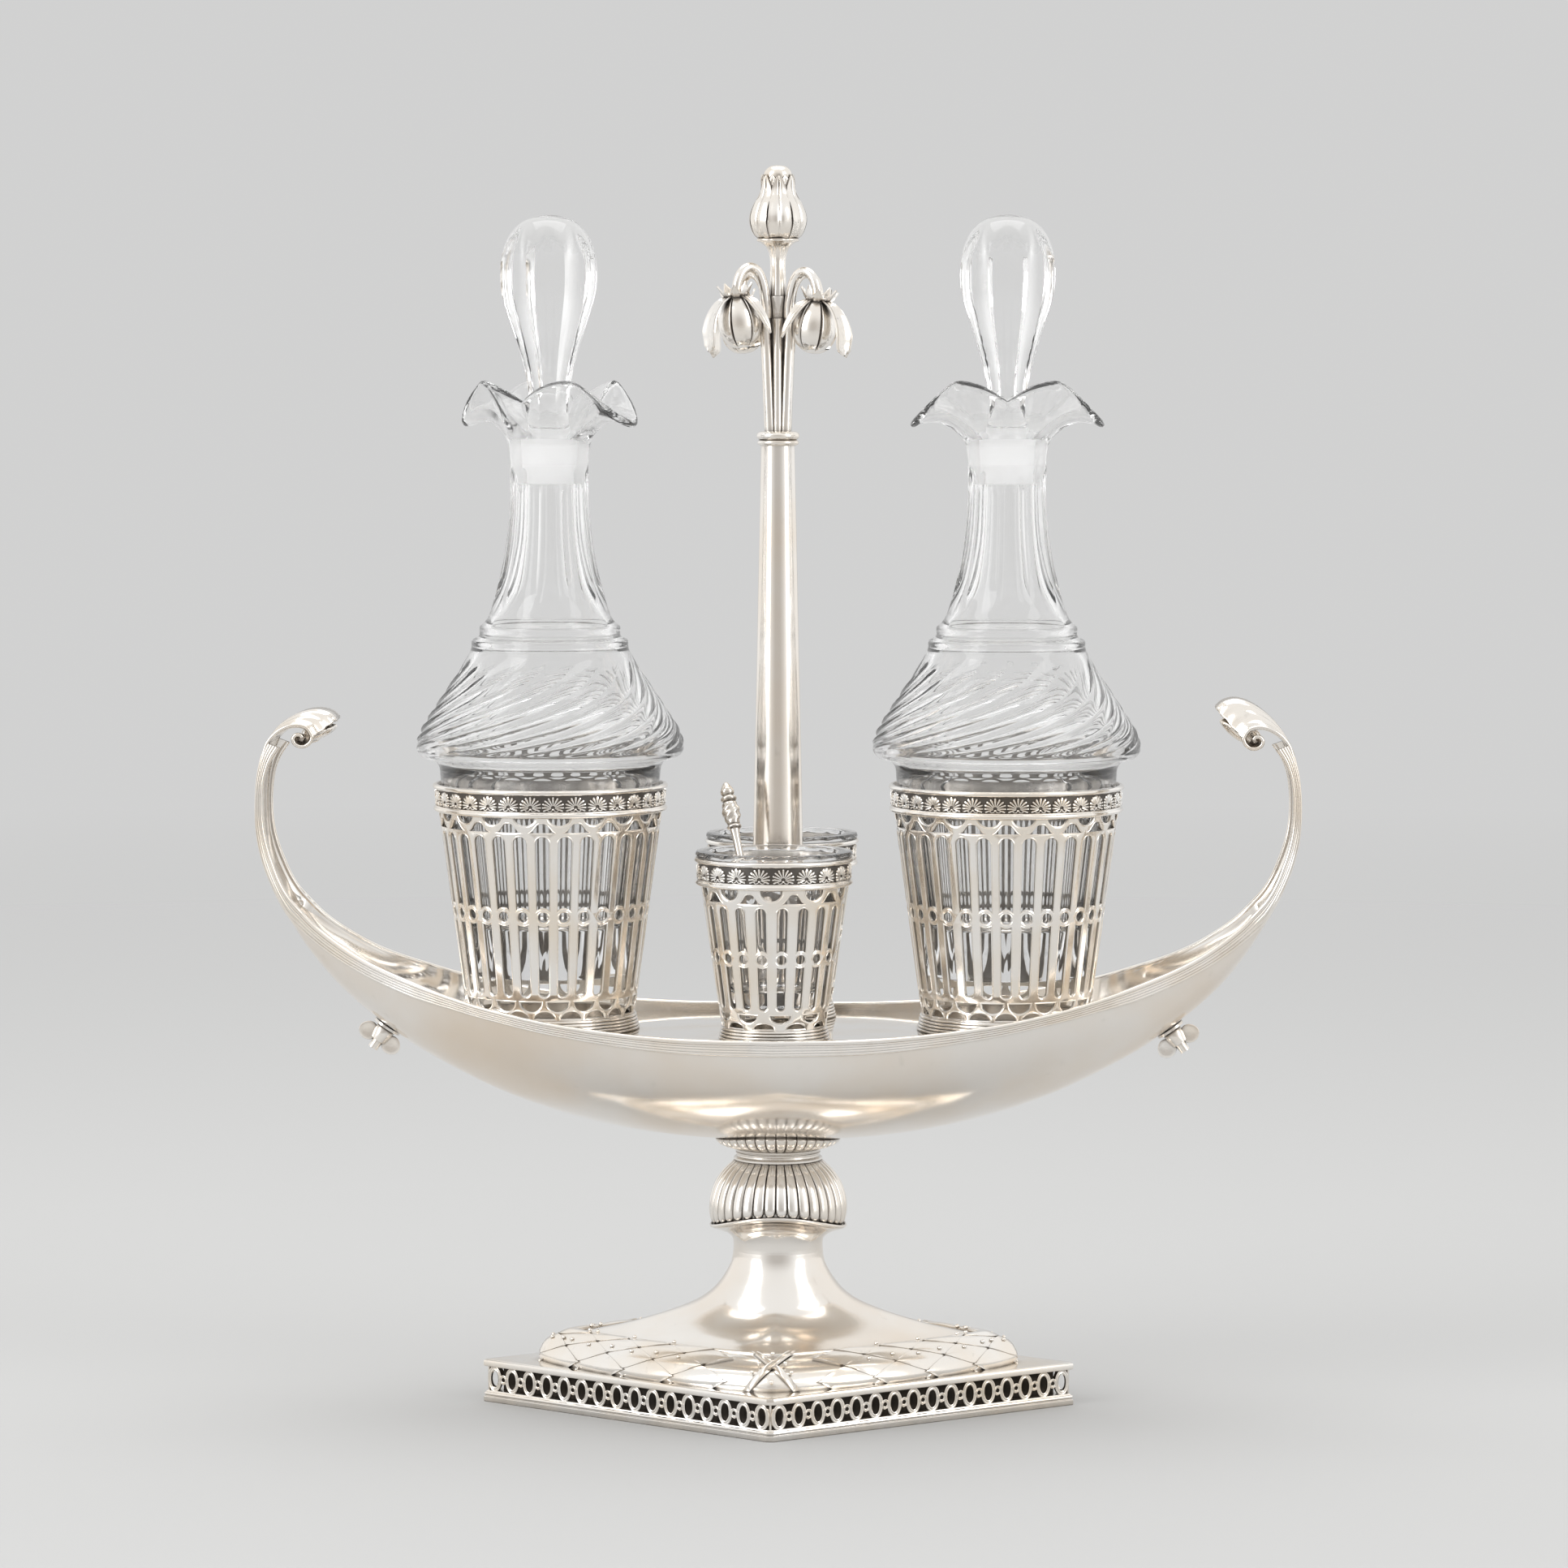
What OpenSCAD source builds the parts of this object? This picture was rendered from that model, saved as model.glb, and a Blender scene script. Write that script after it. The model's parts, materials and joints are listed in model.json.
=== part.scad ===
// Cruet set: a boat-shaped silver stand on a lozenge foot, with two pierced
// bottle holders, two pierced cup holders, two stoppered glass bottles, two
// glass liners, a small spoon and a central column that ends in flowers.
// Millimetres. +Z is up, +X runs along the boat, z = 0 is the underside of the
// foot and x = y = 0 is the axis of the column.

/* [Foot] */
// Length of the lozenge foot along the boat
foot_l = 168.6; // [150:0.2:185]
// Depth of the lozenge foot across the boat
foot_w = 120; // [105:0.5:130]
// Height of the upright edge of the foot
foot_h = 12.2; // [10:0.1:15]

/* [Stem] */
// Height at which the plain dome narrows to its neck
neck_z = 44.5; // [42:0.5:47]
// Radius of that neck
neck_r = 12.4; // [11:0.1:14]
// Largest radius of the gadrooned knop
knop_r = 19.7; // [17:0.1:22]

/* [Boat] */
// Half of the boat's width at the rim, amidships
beam = 48.5; // [47:0.5:54]
// Height of the rim amidships
rim_z = 109; // [107:0.5:112]
// Height of the outside of the bottom amidships
keel_z = 76.5; // [75:0.5:78]
// Half of the width of the handles
handle_w = 12; // [10:0.5:15]
// Distance of the outside of each handle from the column
handle_x = 147.9; // [144:0.1:152]

/* [Holders] */
// Distance of each bottle holder from the column
holder_x = 64.7; // [62:0.1:67]
// Outer radius of a bottle holder at its rim
holder_r = 33.4; // [32:0.1:35]
// Height of a bottle holder above the deck
holder_h = 70; // [66:0.5:74]
// Distance of each cup holder from the column
cup_y = 31; // [31:0.1:31.5]
// Outer radius of a cup holder at its rim
cup_r = 22.2; // [21:0.1:22.4]
// Height of a cup holder above the deck
cup_h = 51.8; // [48:0.5:56]

/* [Column] */
// Height of the whole set, to the tip of the bud
total_h = 352; // [345:1:360]
// Height at which the shaft ends in its ring
ring_z = 273.2; // [268:0.2:276]

/* [Motion] */
// How far a bottle is lifted to clear its holder
bottle_lift = 75; // [60:5:120]
// How far a stopper is lifted to clear its bottle
stopper_lift = 40; // [20:5:60]

/* [Hidden] */
$fn = 72;
silver = "#d9d5cf";
dark_silver = "#8d8781";
glass = "#dfe6e8";

// Foot
foot_wall = 2.4;
base_h = 3.2;
base_step = 1.7;
base_inset = 0.8;
gallery_top = 10.1;
gallery_wall = 1.2;
backing_inset = 3.3;
rings_per_side = 16;
ring_oval_w = 2.6;
ring_oval_h = 5.4;
ring_dot_r = 0.7;
corner_cut = 2;
rod_r = 2.4;
rod_bore = 2.6;
dome_sides = 64;
// Levels of the wreath: height, half length, half width
wreath_levels = [
    [foot_h, 67.5, 50.4], [15.5, 68, 51], [18.6, 66, 48.5], [20.6, 62, 43.5], [21, 58.5, 39.5]
];
wreath_core = [57, 38.2];
// Levels of the dome: height, half length, half width, roundness
dome_levels = [
    [foot_h, 56.4, 37.8, 0], [20.4, 56.4, 37.8, 0], [21.6, 47, 33, 0.05], [23.2, 36.8, 28, 0.2],
    [25.4, 29, 23.8, 0.45], [27.9, 22.6, 20.2, 0.75], [31, 18.8, 17.6, 0.95],
    [35, 15.9, 15.6, 1], [39.6, 13.6, 13.6, 1], [neck_z, neck_r, neck_r, 1]
];

// Stem
knop_z = 53.5;
knop_top = 70.2;
collar_top = 73.9;
collar_r = 12.1;
disc_r = 17.9;

// Boat
hull_wall = 1.2;
hull_end = 134.4;
keel_end = 137.2;
hull_stations = 16;
hull_sections = 8;
// Height above the amidships rim, and above the amidships bottom, at a distance x
rim_rise = [[0, 0], [30, 0.6], [60, 3.5], [80, 7.2], [92, 10.5], [101, 13.3], [111, 17],
            [118, 20.4], [124, 24], [130, 28.4], [134.4, 32.5], [140, 38]];
keel_rise = [[0, 0], [20, 0.5], [40, 2.7], [60, 7.1], [80, 14.2], [100, 24.4], [112.6, 33.1],
             [121, 39.9], [127.3, 46.1], [131.5, 51.5], [135, 56.9], [137.2, 61.2], [142, 70]];
// Handle stations, before the shift to handle_x: inner x and z, outer x and z, half width
handle_path = [
    [134.4, 141.5, 137.2, 137.7, 14.8], [138, 145.6, 140.6, 143.7, 13.9],
    [140.6, 150, 142.9, 148.4, 13.1], [142.6, 154.8, 145, 153.2, 12.5],
    [144.2, 159.6, 146.6, 158.4, 12.1], [145.3, 164.8, 147.6, 164.2, 12],
    [145.7, 170.4, 147.9, 170.4, 12], [145.5, 176.2, 147.7, 176.6, 12],
    [144.7, 181, 147, 182, 12], [143.2, 185, 145.9, 186.6, 12]
];
// Outline of the rolled end, before the shift to handle_x
volute_outline = [
    [143.2, 185], [145.9, 186.6], [144, 191.4], [140.4, 195.4], [135.6, 198], [130.4, 198.8],
    [126.2, 197.2], [124.8, 193], [126.6, 191], [129, 190.6], [131, 189.4], [132.8, 188.3],
    [135.2, 188.3], [136.8, 189.8], [137, 192], [140.8, 188.6]
];
handle_ref_x = 147.9;
strap_t = 1;
strap_edge = 1.4;
rim_band_h = 3.4;
rim_band_t = 1.1;
rim_overlap = 0.02;
deck_t = 1.5;
deck_z = rim_z - 1.3;
deck_gap = 0.25;
stud_x = 111;
stud_r = 1.5;
stud_bore = 1.7;
tab_low = 1.37;
tab_t = 1;
nut_hub_r = 2.7;
nut_from = 1.5;
nut_to = 5.5;

// Holders
holder_base_r = 25;
holder_foot_r = 23.9;
holder_top_r = 31.7;
cup_base_r = 15.4;
cup_foot_r = 14.6;
cup_top_r = 20.3;
band_h = 4.5;
frieze_h = 8;
sleeve_wall = 0.9;
part_gap = 0.25;

// Bottles, liners and stoppers
plug_z = [262.5, 275.5];
plug_r = [7.4, 7.95];
bottle_floor = 123.5;
bottle_wall = 2.5;
liner_floor = 117.5;
liner_wall = 2;

// Spoon: a point on its shaft, its lean from upright and the way it leans
spoon_pivot = [-9.8, 11.5 - cup_y, 157.6];
spoon_lean = 24.5;
spoon_way = 119;

// Flowers
split_z = 309;
flower_r = 13.2;
flower_angles = [142, 218, 322, 38];
flower_rise = [0, 1.6, 0.4, 0];

// ---------------------------------------------------------------- functions

function mix(a, b, t) = a + (b - a) * t;

// Corners of a lozenge with its front and back corners cut off
function lozenge(l, w, cut) = [
    [-l, 0], [-cut / 2, -w], [cut / 2, -w], [l, 0], [cut / 2, w], [-cut / 2, w]
];

// A lozenge scaled so that its sides move in by d
function inset_k(d) = 1 - d * norm([foot_l / 2, foot_w / 2]) / (foot_l * foot_w / 4);

// A rounded closed ring at angle a: round = 0 is a soft lozenge, 1 is an ellipse
function soft_ring(l, w, round, a) =
    let (p = mix(1.16, 2, round), c = cos(a), s = sin(a),
         r = pow(pow(abs(c), p) + pow(abs(s), p), -1 / p))
    [l * c * r, w * s * r];

// Boat: half width, rim height and keel height at distance x from amidships
function half_width(x) =
    handle_w + (beam - handle_w) * pow(max(0, 1 - pow(x / 150, 2)), 1.58);
function sheer_z(x) = rim_z + lookup(x, rim_rise);
function keel_line(x) = keel_z + lookup(x, keel_rise);

// Point of the hull: s runs from -1 to 1 along the boat, a is the section angle
// from -90 at the front rim to 90 at the back rim, t is the depth into the wall
function hull_point(s, a, t) =
    let (m = abs(s), side = s < 0 ? -1 : 1, c = 1 - cos(a),
         xr = hull_end * m, xk = keel_end * m - t * 0.5 * m,
         zr = sheer_z(xr), zk = keel_line(keel_end * m) + t)
    [side * mix(xk, xr, c), (half_width(xr) - t) * sin(a), mix(zk, zr, c)];

// Half width of the inside of the hull at distance x and height z
function inner_half(x, z) =
    let (zr = sheer_z(x), zk = keel_line(x) + hull_wall * 1.3,
         u = min(1, max(0, (zr - z) / (zr - zk))))
    (half_width(x) - hull_wall) * sqrt(1 - u * u);

// ------------------------------------------------------------ shape helpers

// Closed solid through rings of equal point count, capped at both ends
module loft(rings) {
    n = len(rings[0]);
    m = len(rings);
    pts = [for (r = rings) each r];
    sides = [for (i = [0 : m - 2]) for (j = [0 : n - 1]) let (k = (j + 1) % n)
        each [[i * n + j, (i + 1) * n + j, (i + 1) * n + k], [i * n + j, (i + 1) * n + k, i * n + k]]];
    caps = [[for (j = [0 : n - 1]) j], [for (j = [n - 1 : -1 : 0]) (m - 1) * n + j]];
    polyhedron(points = pts, faces = concat(sides, caps), convexity = 8);
}

// Closed solid through rings, the last ring joined back to the first
module loop_loft(rings) {
    n = len(rings[0]);
    m = len(rings);
    pts = [for (r = rings) each r];
    sides = [for (i = [0 : m - 1]) for (j = [0 : n - 1]) let (k = (j + 1) % n, h = (i + 1) % m)
        each [[i * n + j, h * n + j, h * n + k], [i * n + j, h * n + k, i * n + k]]];
    polyhedron(points = pts, faces = sides, convexity = 8);
}

// Solid of revolution from [radius, height] points, with a central bore
module turned(points, bore = 0) {
    difference() {
        rotate_extrude() polygon(points);
        if (bore > 0)
            cylinder(r = bore, h = 3 * total_h, center = true);
    }
}

// ---------------------------------------------------------------- foot

module lozenge_ring(z0, z1, k_out, k_in) {
    translate([0, 0, z0])
        linear_extrude(z1 - z0)
            difference() {
                polygon(lozenge(k_out * foot_l / 2, k_out * foot_w / 2, corner_cut));
                polygon(lozenge(k_in * foot_l / 2, k_in * foot_w / 2, corner_cut));
            }
}

module foot_base_moulding() {
    color(silver) {
        lozenge_ring(0, base_step, 1, inset_k(foot_wall + base_inset));
        lozenge_ring(base_step, base_h, inset_k(base_inset), inset_k(foot_wall + base_inset));
    }
}

module foot_gallery() {
    k = inset_k(base_inset + 0.4);
    side_l = norm([foot_l / 2, foot_w / 2]) * k;
    turn = atan2(foot_w, foot_l);
    pitch = side_l * 0.96 / rings_per_side;
    mid_z = (base_h + gallery_top) / 2;
    color(silver)
        difference() {
            lozenge_ring(base_h, gallery_top, k, inset_k(base_inset + 0.4 + gallery_wall));
            for (sx = [-1, 1], sy = [-1, 1], i = [0 : rings_per_side - 1])
                translate([sx * k * foot_l / 4, sy * k * foot_w / 4, mid_z])
                    rotate([0, 0, -sx * sy * turn])
                        translate([(i - (rings_per_side - 1) / 2) * pitch, 0, 0])
                            gallery_holes(pitch, i < rings_per_side - 1);
        }
}

// Dark strip that closes the foot behind the gallery
module foot_backing() {
    color(dark_silver)
        lozenge_ring(base_h, gallery_top, inset_k(backing_inset), inset_k(backing_inset + 1));
}

// One tall oval hole, and the small round hole beside it
module gallery_holes(pitch, with_dot) {
    rotate([90, 0, 0])
        linear_extrude(4 * gallery_wall, center = true) {
            polygon([for (a = [0 : 30 : 330]) [ring_oval_w / 2 * cos(a), ring_oval_h / 2 * sin(a)]]);
            if (with_dot)
                translate([pitch / 2, 0])
                    circle(r = ring_dot_r);
        }
}

module foot_top_plate() {
    color(silver)
        translate([0, 0, gallery_top])
            linear_extrude(foot_h - gallery_top)
                difference() {
                    polygon(lozenge(foot_l / 2, foot_w / 2, corner_cut));
                    circle(r = rod_bore);
                }
}

module laurel_wreath() {
    inner = [wreath_levels[4][0], foot_h];
    color(silver)
        loop_loft(concat(
            [for (v = wreath_levels) [for (i = [0 : dome_sides - 1])
                let (p = soft_ring(v[1], v[2], 0.12, i * 360 / dome_sides)) [p[0], p[1], v[0]]]],
            [for (z = inner) [for (i = [0 : dome_sides - 1])
                let (p = soft_ring(wreath_core[0], wreath_core[1], 0, i * 360 / dome_sides))
                [p[0], p[1], z]]]));
}

module foot_dome() {
    color(silver)
        difference() {
            loft([for (v = [for (i = [len(dome_levels) - 1 : -1 : 0]) dome_levels[i]])
                [for (i = [0 : dome_sides - 1])
                    let (p = soft_ring(v[1], v[2], v[3], i * 360 / dome_sides))
                    [p[0], p[1], v[0]]]]);
            translate([0, 0, foot_h - 1])
                cylinder(r = rod_bore, h = neck_z);
        }
}

// ---------------------------------------------------------------- stem

module stem_spool() {
    color(silver)
        turned([[0, neck_z], [neck_r, neck_z], [12.8, 47.5], [14.2, 50], [16.6, 51.9],
                [19.2, knop_z - 0.6], [19.2, knop_z], [0, knop_z]], rod_bore);
}

module gadrooned_knop() {
    color(silver)
        turned([[0, knop_z], [18.9, knop_z], [knop_r, 55.2], [knop_r, 58], [19.2, 61],
                [18, 64.2], [16.2, 67], [13.9, 69.3], [12.6, knop_top], [0, knop_top]], rod_bore);
}

module stem_collar() {
    color(silver)
        turned([[0, knop_top], [collar_r, knop_top], [collar_r + 0.4, 71], [collar_r - 0.3, 71.6],
                [collar_r - 0.3, 72.8], [collar_r + 0.2, 73.3], [collar_r, collar_top],
                [0, collar_top]], rod_bore);
}

module gadrooned_disc() {
    color(silver)
        turned([[0, collar_top], [12.4, collar_top], [15.6, 74.6], [17.4, 75.6],
                [disc_r, keel_z - 0.1], [0, keel_z - 0.1]], rod_bore);
}

module tie_rod() {
    color(dark_silver)
        translate([0, 0, 4])
            cylinder(r = rod_r, h = 121);
}

module tie_rod_nut() {
    color(dark_silver)
        difference() {
            union() {
                translate([0, 0, 5])
                    cylinder(r = 5, h = 4, $fn = 6);
                translate([0, 0, 9])
                    cylinder(r = 7, h = 1);
            }
            cylinder(r = rod_bore, h = 20);
        }
}

// ---------------------------------------------------------------- boat

module boat_hull() {
    ns = hull_stations;
    nt = hull_sections;
    cols = 2 * nt + 1;
    rows = 2 * ns + 1;
    half = rows * cols;
    function station(i) = let (u = (i - ns) / ns) sign(u) * pow(abs(u), 0.8);
    pts = [for (t = [0, hull_wall]) for (i = [0 : rows - 1]) for (j = [0 : cols - 1])
        hull_point(station(i), (j - nt) * 90 / nt, t)];
    skin = [for (i = [0 : rows - 2]) for (j = [0 : cols - 2])
        let (a = i * cols + j, b = a + cols) each [[a, a + 1, b + 1], [a, b + 1, b]]];
    inner = [for (f = skin) [f[0] + half, f[2] + half, f[1] + half]];
    front = [for (i = [0 : rows - 2]) let (a = i * cols, b = a + cols)
        each [[a, b, b + half], [a, b + half, a + half]]];
    back = [for (i = [0 : rows - 2]) let (a = i * cols + cols - 1, b = a + cols)
        each [[a, b + half, b], [a, a + half, b + half]]];
    left = [for (j = [0 : cols - 2]) each [[j, j + 1 + half, j + 1], [j, j + half, j + 1 + half]]];
    right = [for (j = [0 : cols - 2]) let (a = (rows - 1) * cols + j)
        each [[a, a + 1, a + 1 + half], [a, a + 1 + half, a + half]]];
    color(silver)
        difference() {
            polyhedron(points = pts, faces = concat(skin, inner, front, back, left, right),
                       convexity = 10);
            cylinder(r = rod_bore, h = total_h);
            for (side = [-1, 1])
                stud_frame(side)
                    cylinder(r = stud_bore, h = 20, center = true);
        }
}

// Reeded band outside the rim: side is -1 at the front and 1 at the back
module rim_moulding(side) {
    n = 2 * hull_stations;
    color(silver)
        loft([for (i = [side < 0 ? 0 : n : side < 0 ? 1 : -1 : side < 0 ? n : 0])
            let (x = hull_end * 0.985 * (i / n * 2 - 1), w = half_width(abs(x)), z = sheer_z(abs(x)))
            [[x, side * (w + rim_overlap), z], [x, side * (w + rim_band_t), z - 0.3],
             [x, side * (w + rim_band_t), z - rim_band_h + 0.4],
             [x, side * (w + rim_overlap), z - rim_band_h]]]);
}

module rim_moulding_front() { rim_moulding(-1); }
module rim_moulding_back() { rim_moulding(1); }

// Upswept trough-section strap that carries on the end of the boat
module handle(side) {
    dx = handle_x - handle_ref_x;
    function cross_section(v) =
        let (w = v[4] / 12 * handle_w, n = norm([v[2] - v[0], v[3] - v[1]]), k = strap_t / n,
             fx = mix(v[2], v[0], k), fz = mix(v[3], v[1], k), e = w - strap_edge)
        [[v[2] + dx, -w, v[3]], [v[0] + dx, -w, v[1]], [v[0] + dx, -e, v[1]], [fx + dx, -e, fz],
         [fx + dx, e, fz], [v[0] + dx, e, v[1]], [v[0] + dx, w, v[1]], [v[2] + dx, w, v[3]]];
    color(silver)
        mirror([side < 0 ? 1 : 0, 0, 0])
            loft([for (v = handle_path) cross_section(v)]);
}

module handle_left() { handle(-1); }
module handle_right() { handle(1); }

// Rolled shell terminal: the strap rolls over, with its middle raised by rise
module volute(side, rise) {
    dx = handle_x - handle_ref_x;
    function raised(p) = p[1] > 193.5 ? [p[0] - rise * 0.3, p[1] + rise] : p;
    color(silver)
        mirror([side < 0 ? 1 : 0, 0, 0])
            translate([dx, 0, 0])
                rotate([90, 0, 0]) {
                    linear_extrude(2 * handle_w, center = true)
                        polygon(volute_outline);
                    linear_extrude(1.1 * handle_w, center = true)
                        polygon([for (p = volute_outline) raised(p)]);
                }
}

module volute_left() { volute(-1, 0.6); }
module volute_right() { volute(1, 3); }

module deck_plate() {
    n = 24;
    x_end = 105.4;
    under = deck_z - deck_t;
    function edge(i) = let (x = x_end * sin(i * 90 / n))
        [x, max(0.4, inner_half(x, under) - deck_gap)];
    quarter = [for (i = [0 : n]) edge(i)];
    outline = concat(
        [for (i = [0 : n]) [quarter[i][0], -quarter[i][1]]],
        [for (i = [n : -1 : 0]) quarter[i]],
        [for (i = [1 : n]) [-quarter[i][0], quarter[i][1]]],
        [for (i = [n : -1 : 1]) [-quarter[i][0], -quarter[i][1]]]);
    color(silver)
        difference() {
            union() {
                translate([0, 0, under])
                    linear_extrude(deck_t)
                        polygon(outline);
                for (side = [-1, 1])
                    deck_tab(side);
            }
            cylinder(r = rod_bore, h = total_h);
            for (side = [-1, 1])
                stud_frame(side)
                    cylinder(r = stud_bore, h = 20, center = true);
        }
}

// Sloping tab that carries the deck on to a stud, just clear of the hull's bottom
module deck_tab(side) {
    stud_frame(side)
        translate([side * 1.5, 0, -tab_low - tab_t / 2])
            cube([9, 5, tab_t], center = true);
}

// Places its children with z along a deck stud, from the outside of the hull
module stud_frame(side) {
    slope = atan((keel_line(stud_x + 1) - keel_line(stud_x - 1)) / 2);
    translate([side * stud_x, 0, keel_line(stud_x)])
        rotate([0, side * (180 - slope), 0])
            children();
}

module deck_stud(side) {
    color(silver)
        stud_frame(side) {
            translate([0, 0, -tab_low - tab_t - 0.05])
                cylinder(r = stud_r, h = 10.6);
            translate([0, 0, -tab_low - tab_t - 0.85])
                cylinder(r = 2.3, h = 0.8);
        }
}

module deck_stud_left() { deck_stud(-1); }
module deck_stud_right() { deck_stud(1); }

module stud_washer(side) {
    color(silver)
        stud_frame(side)
            translate([0, 0, 0.35])
                difference() {
                    cylinder(r = 4.2, h = 0.7);
                    cylinder(r = stud_bore, h = 5, center = true);
                }
}

module washer_left() { stud_washer(-1); }
module washer_right() { stud_washer(1); }

module wing_nut(side) {
    color(silver)
        stud_frame(side)
            difference() {
                union() {
                    translate([0, 0, nut_from])
                        cylinder(r = nut_hub_r, h = nut_to - nut_from);
                    for (wing = [-1, 1])
                        translate([wing * 3.9, 0, nut_from + 3.1])
                            rotate([90, 0, 0])
                                cylinder(r = 2.6, h = 1.4, center = true);
                }
                cylinder(r = stud_bore, h = 30, center = true);
            }
}

module wing_nut_left() { wing_nut(-1); }
module wing_nut_right() { wing_nut(1); }

// ---------------------------------------------------------------- holders

// Reeded ring that a holder stands on
module base_ring(r) {
    reed = band_h / 4;
    color(silver)
        translate([0, 0, deck_z])
            difference() {
                rotate_extrude()
                    polygon(concat([[r - 3.2, 0]],
                        [for (i = [0 : 3]) each [[r + 0.5 - 0.12 * i, i * reed + 0.1],
                                                 [r + 0.5 - 0.12 * i, (i + 1) * reed - 0.1]]],
                        [[r - 3.2, band_h]]));
            }
}

// A pierced tapering sleeve. Each cutter goes right through, so it opens both
// sides: slots and arches are the numbers of openings around the sleeve
module pierced_sleeve(r0, r1, h, slots, arches) {
    z_low = band_h;
    span = h - frieze_h - z_low;
    slot_w = PI * r0 / slots;
    arch_w = 1.24 * PI * r0 / arches;
    color(silver)
        translate([0, 0, deck_z])
            difference() {
                rotate_extrude()
                    polygon([[r0 - sleeve_wall, z_low], [r0, z_low], [r1, z_low + span],
                             [r1 - sleeve_wall, z_low + span]]);
                for (i = [1 : slots / 2])
                    rotate([0, 0, (i - 0.5) * 360 / slots]) {
                        through_slot(r1, slot_w * 1.2, z_low + span * 0.56, z_low + span * 0.9);
                        through_slot(r1, slot_w, z_low + span * 0.14, z_low + span * 0.46);
                        through_slot(r1, slot_w * 0.9, z_low + span * 0.49, z_low + span * 0.53);
                    }
                for (i = [1 : arches / 2])
                    rotate([0, 0, (i - 0.5) * 360 / arches]) {
                        through_dish(r1, arch_w, z_low + span * 0.11, -arch_w * 0.42);
                        through_dish(r1, arch_w, z_low + span * 0.01, arch_w * 0.38);
                        through_dish(r1, arch_w * 1.2, z_low + span * 0.925, arch_w * 0.4);
                    }
            }
}

// Slot with pointed ends, between heights z0 and z1
module through_slot(r, w, z0, z1) {
    tip = min(w / 2, (z1 - z0) / 2 - 0.1);
    rotate([90, 0, 90])
        linear_extrude(3 * r, center = true)
            polygon([[0, z0], [w / 2, z0 + tip], [w / 2, z1 - tip], [0, z1], [-w / 2, z1 - tip],
                     [-w / 2, z0 + tip]]);
}

// Half-round opening with its flat side at height z, rise high or deep
module through_dish(r, w, z, rise) {
    rotate([90, 0, 90])
        linear_extrude(3 * r, center = true)
            polygon([for (a = [0 : 45 : 180]) [w / 2 * cos(a), z + rise * sin(a)]]);
}

// Frieze band between two wires, at the top of a holder
module frieze_band(r, h) {
    color(dark_silver)
        translate([0, 0, deck_z])
            rotate_extrude()
                polygon([[r - 2.1, h - frieze_h], [r - 0.5, h - frieze_h], [r - 0.3, h - frieze_h + 0.9],
                         [r - 0.5, h - frieze_h + 1.7], [r - 0.9, h - frieze_h + 2],
                         [r - 0.8, h - 1.3], [r - 0.2, h - 1.1], [r, h - 0.6], [r - 0.3, h],
                         [r - 1.2, h], [r - 1.9, h - 2]]);
}

module at_bottle(side) { translate([side * holder_x, 0, 0]) children(); }
module at_cup(side) { translate([0, side * cup_y, 0]) children(); }

module holder_ring_left() { at_bottle(-1) base_ring(holder_base_r); }
module holder_ring_right() { at_bottle(1) base_ring(holder_base_r); }
module holder_sleeve_left() {
    at_bottle(-1) pierced_sleeve(holder_foot_r, holder_top_r, holder_h, 30, 20);
}
module holder_sleeve_right() {
    at_bottle(1) pierced_sleeve(holder_foot_r, holder_top_r, holder_h, 30, 20);
}
module holder_frieze_left() { at_bottle(-1) frieze_band(holder_r, holder_h); }
module holder_frieze_right() { at_bottle(1) frieze_band(holder_r, holder_h); }
module cup_ring_front() { at_cup(-1) base_ring(cup_base_r); }
module cup_ring_back() { at_cup(1) base_ring(cup_base_r); }
module cup_sleeve_front() { at_cup(-1) pierced_sleeve(cup_foot_r, cup_top_r, cup_h, 20, 10); }
module cup_sleeve_back() { at_cup(1) pierced_sleeve(cup_foot_r, cup_top_r, cup_h, 20, 10); }
module cup_frieze_front() { at_cup(-1) frieze_band(cup_r, cup_h); }
module cup_frieze_back() { at_cup(1) frieze_band(cup_r, cup_h); }

// ---------------------------------------------------------------- column

module column_shaft() {
    color(silver)
        difference() {
            rotate_extrude()
                polygon([[0, deck_z], [8.6, deck_z], [8.6, deck_z + 1.4], [8.1, deck_z + 2],
                         [7.2, 157], [4.8, ring_z], [0, ring_z]]);
            translate([0, 0, deck_z - 1])
                cylinder(r = rod_bore, h = 19);
        }
}

module column_ring() {
    color(silver)
        translate([0, 0, ring_z])
            rotate_extrude()
                polygon([[0, 0], [5.4, 0], [5.9, 0.5], [5.7, 1.3], [5.4, 1.6], [6.1, 2.2],
                         [6.1, 3.3], [5.4, 4.1], [0, 4.1]]);
}

module stem_bundle() {
    low = ring_z + 4.1;
    color(silver) {
        translate([0, 0, low])
            cylinder(r1 = 2.6, r2 = 3.1, h = split_z - low);
        for (i = [0 : 3])
            rotate([0, 0, flower_angles[i]])
                translate([2.75, 0, low])
                    rotate([0, 1.3, 0])
                        cylinder(r = 1.65, h = split_z - low);
        translate([0, 0, split_z])
            cylinder(r = 3.05, h = 6.4);
    }
}

module bud_finial() {
    color(silver)
        translate([0, 0, total_h])
            rotate_extrude()
                polygon([[0, -36.6], [2.7, -36.6], [2.3, -33], [2.3, -25], [3.5, -21.4], [4.6, -20.6],
                         [6.6, -18.8], [7.9, -16.6], [8.1, -14.6], [7.3, -11.6], [5.6, -8.4],
                         [4.9, -6.4], [4.6, -3.6], [3.4, -1.2], [1.6, -0.2], [0, 0]]);
}

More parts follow.
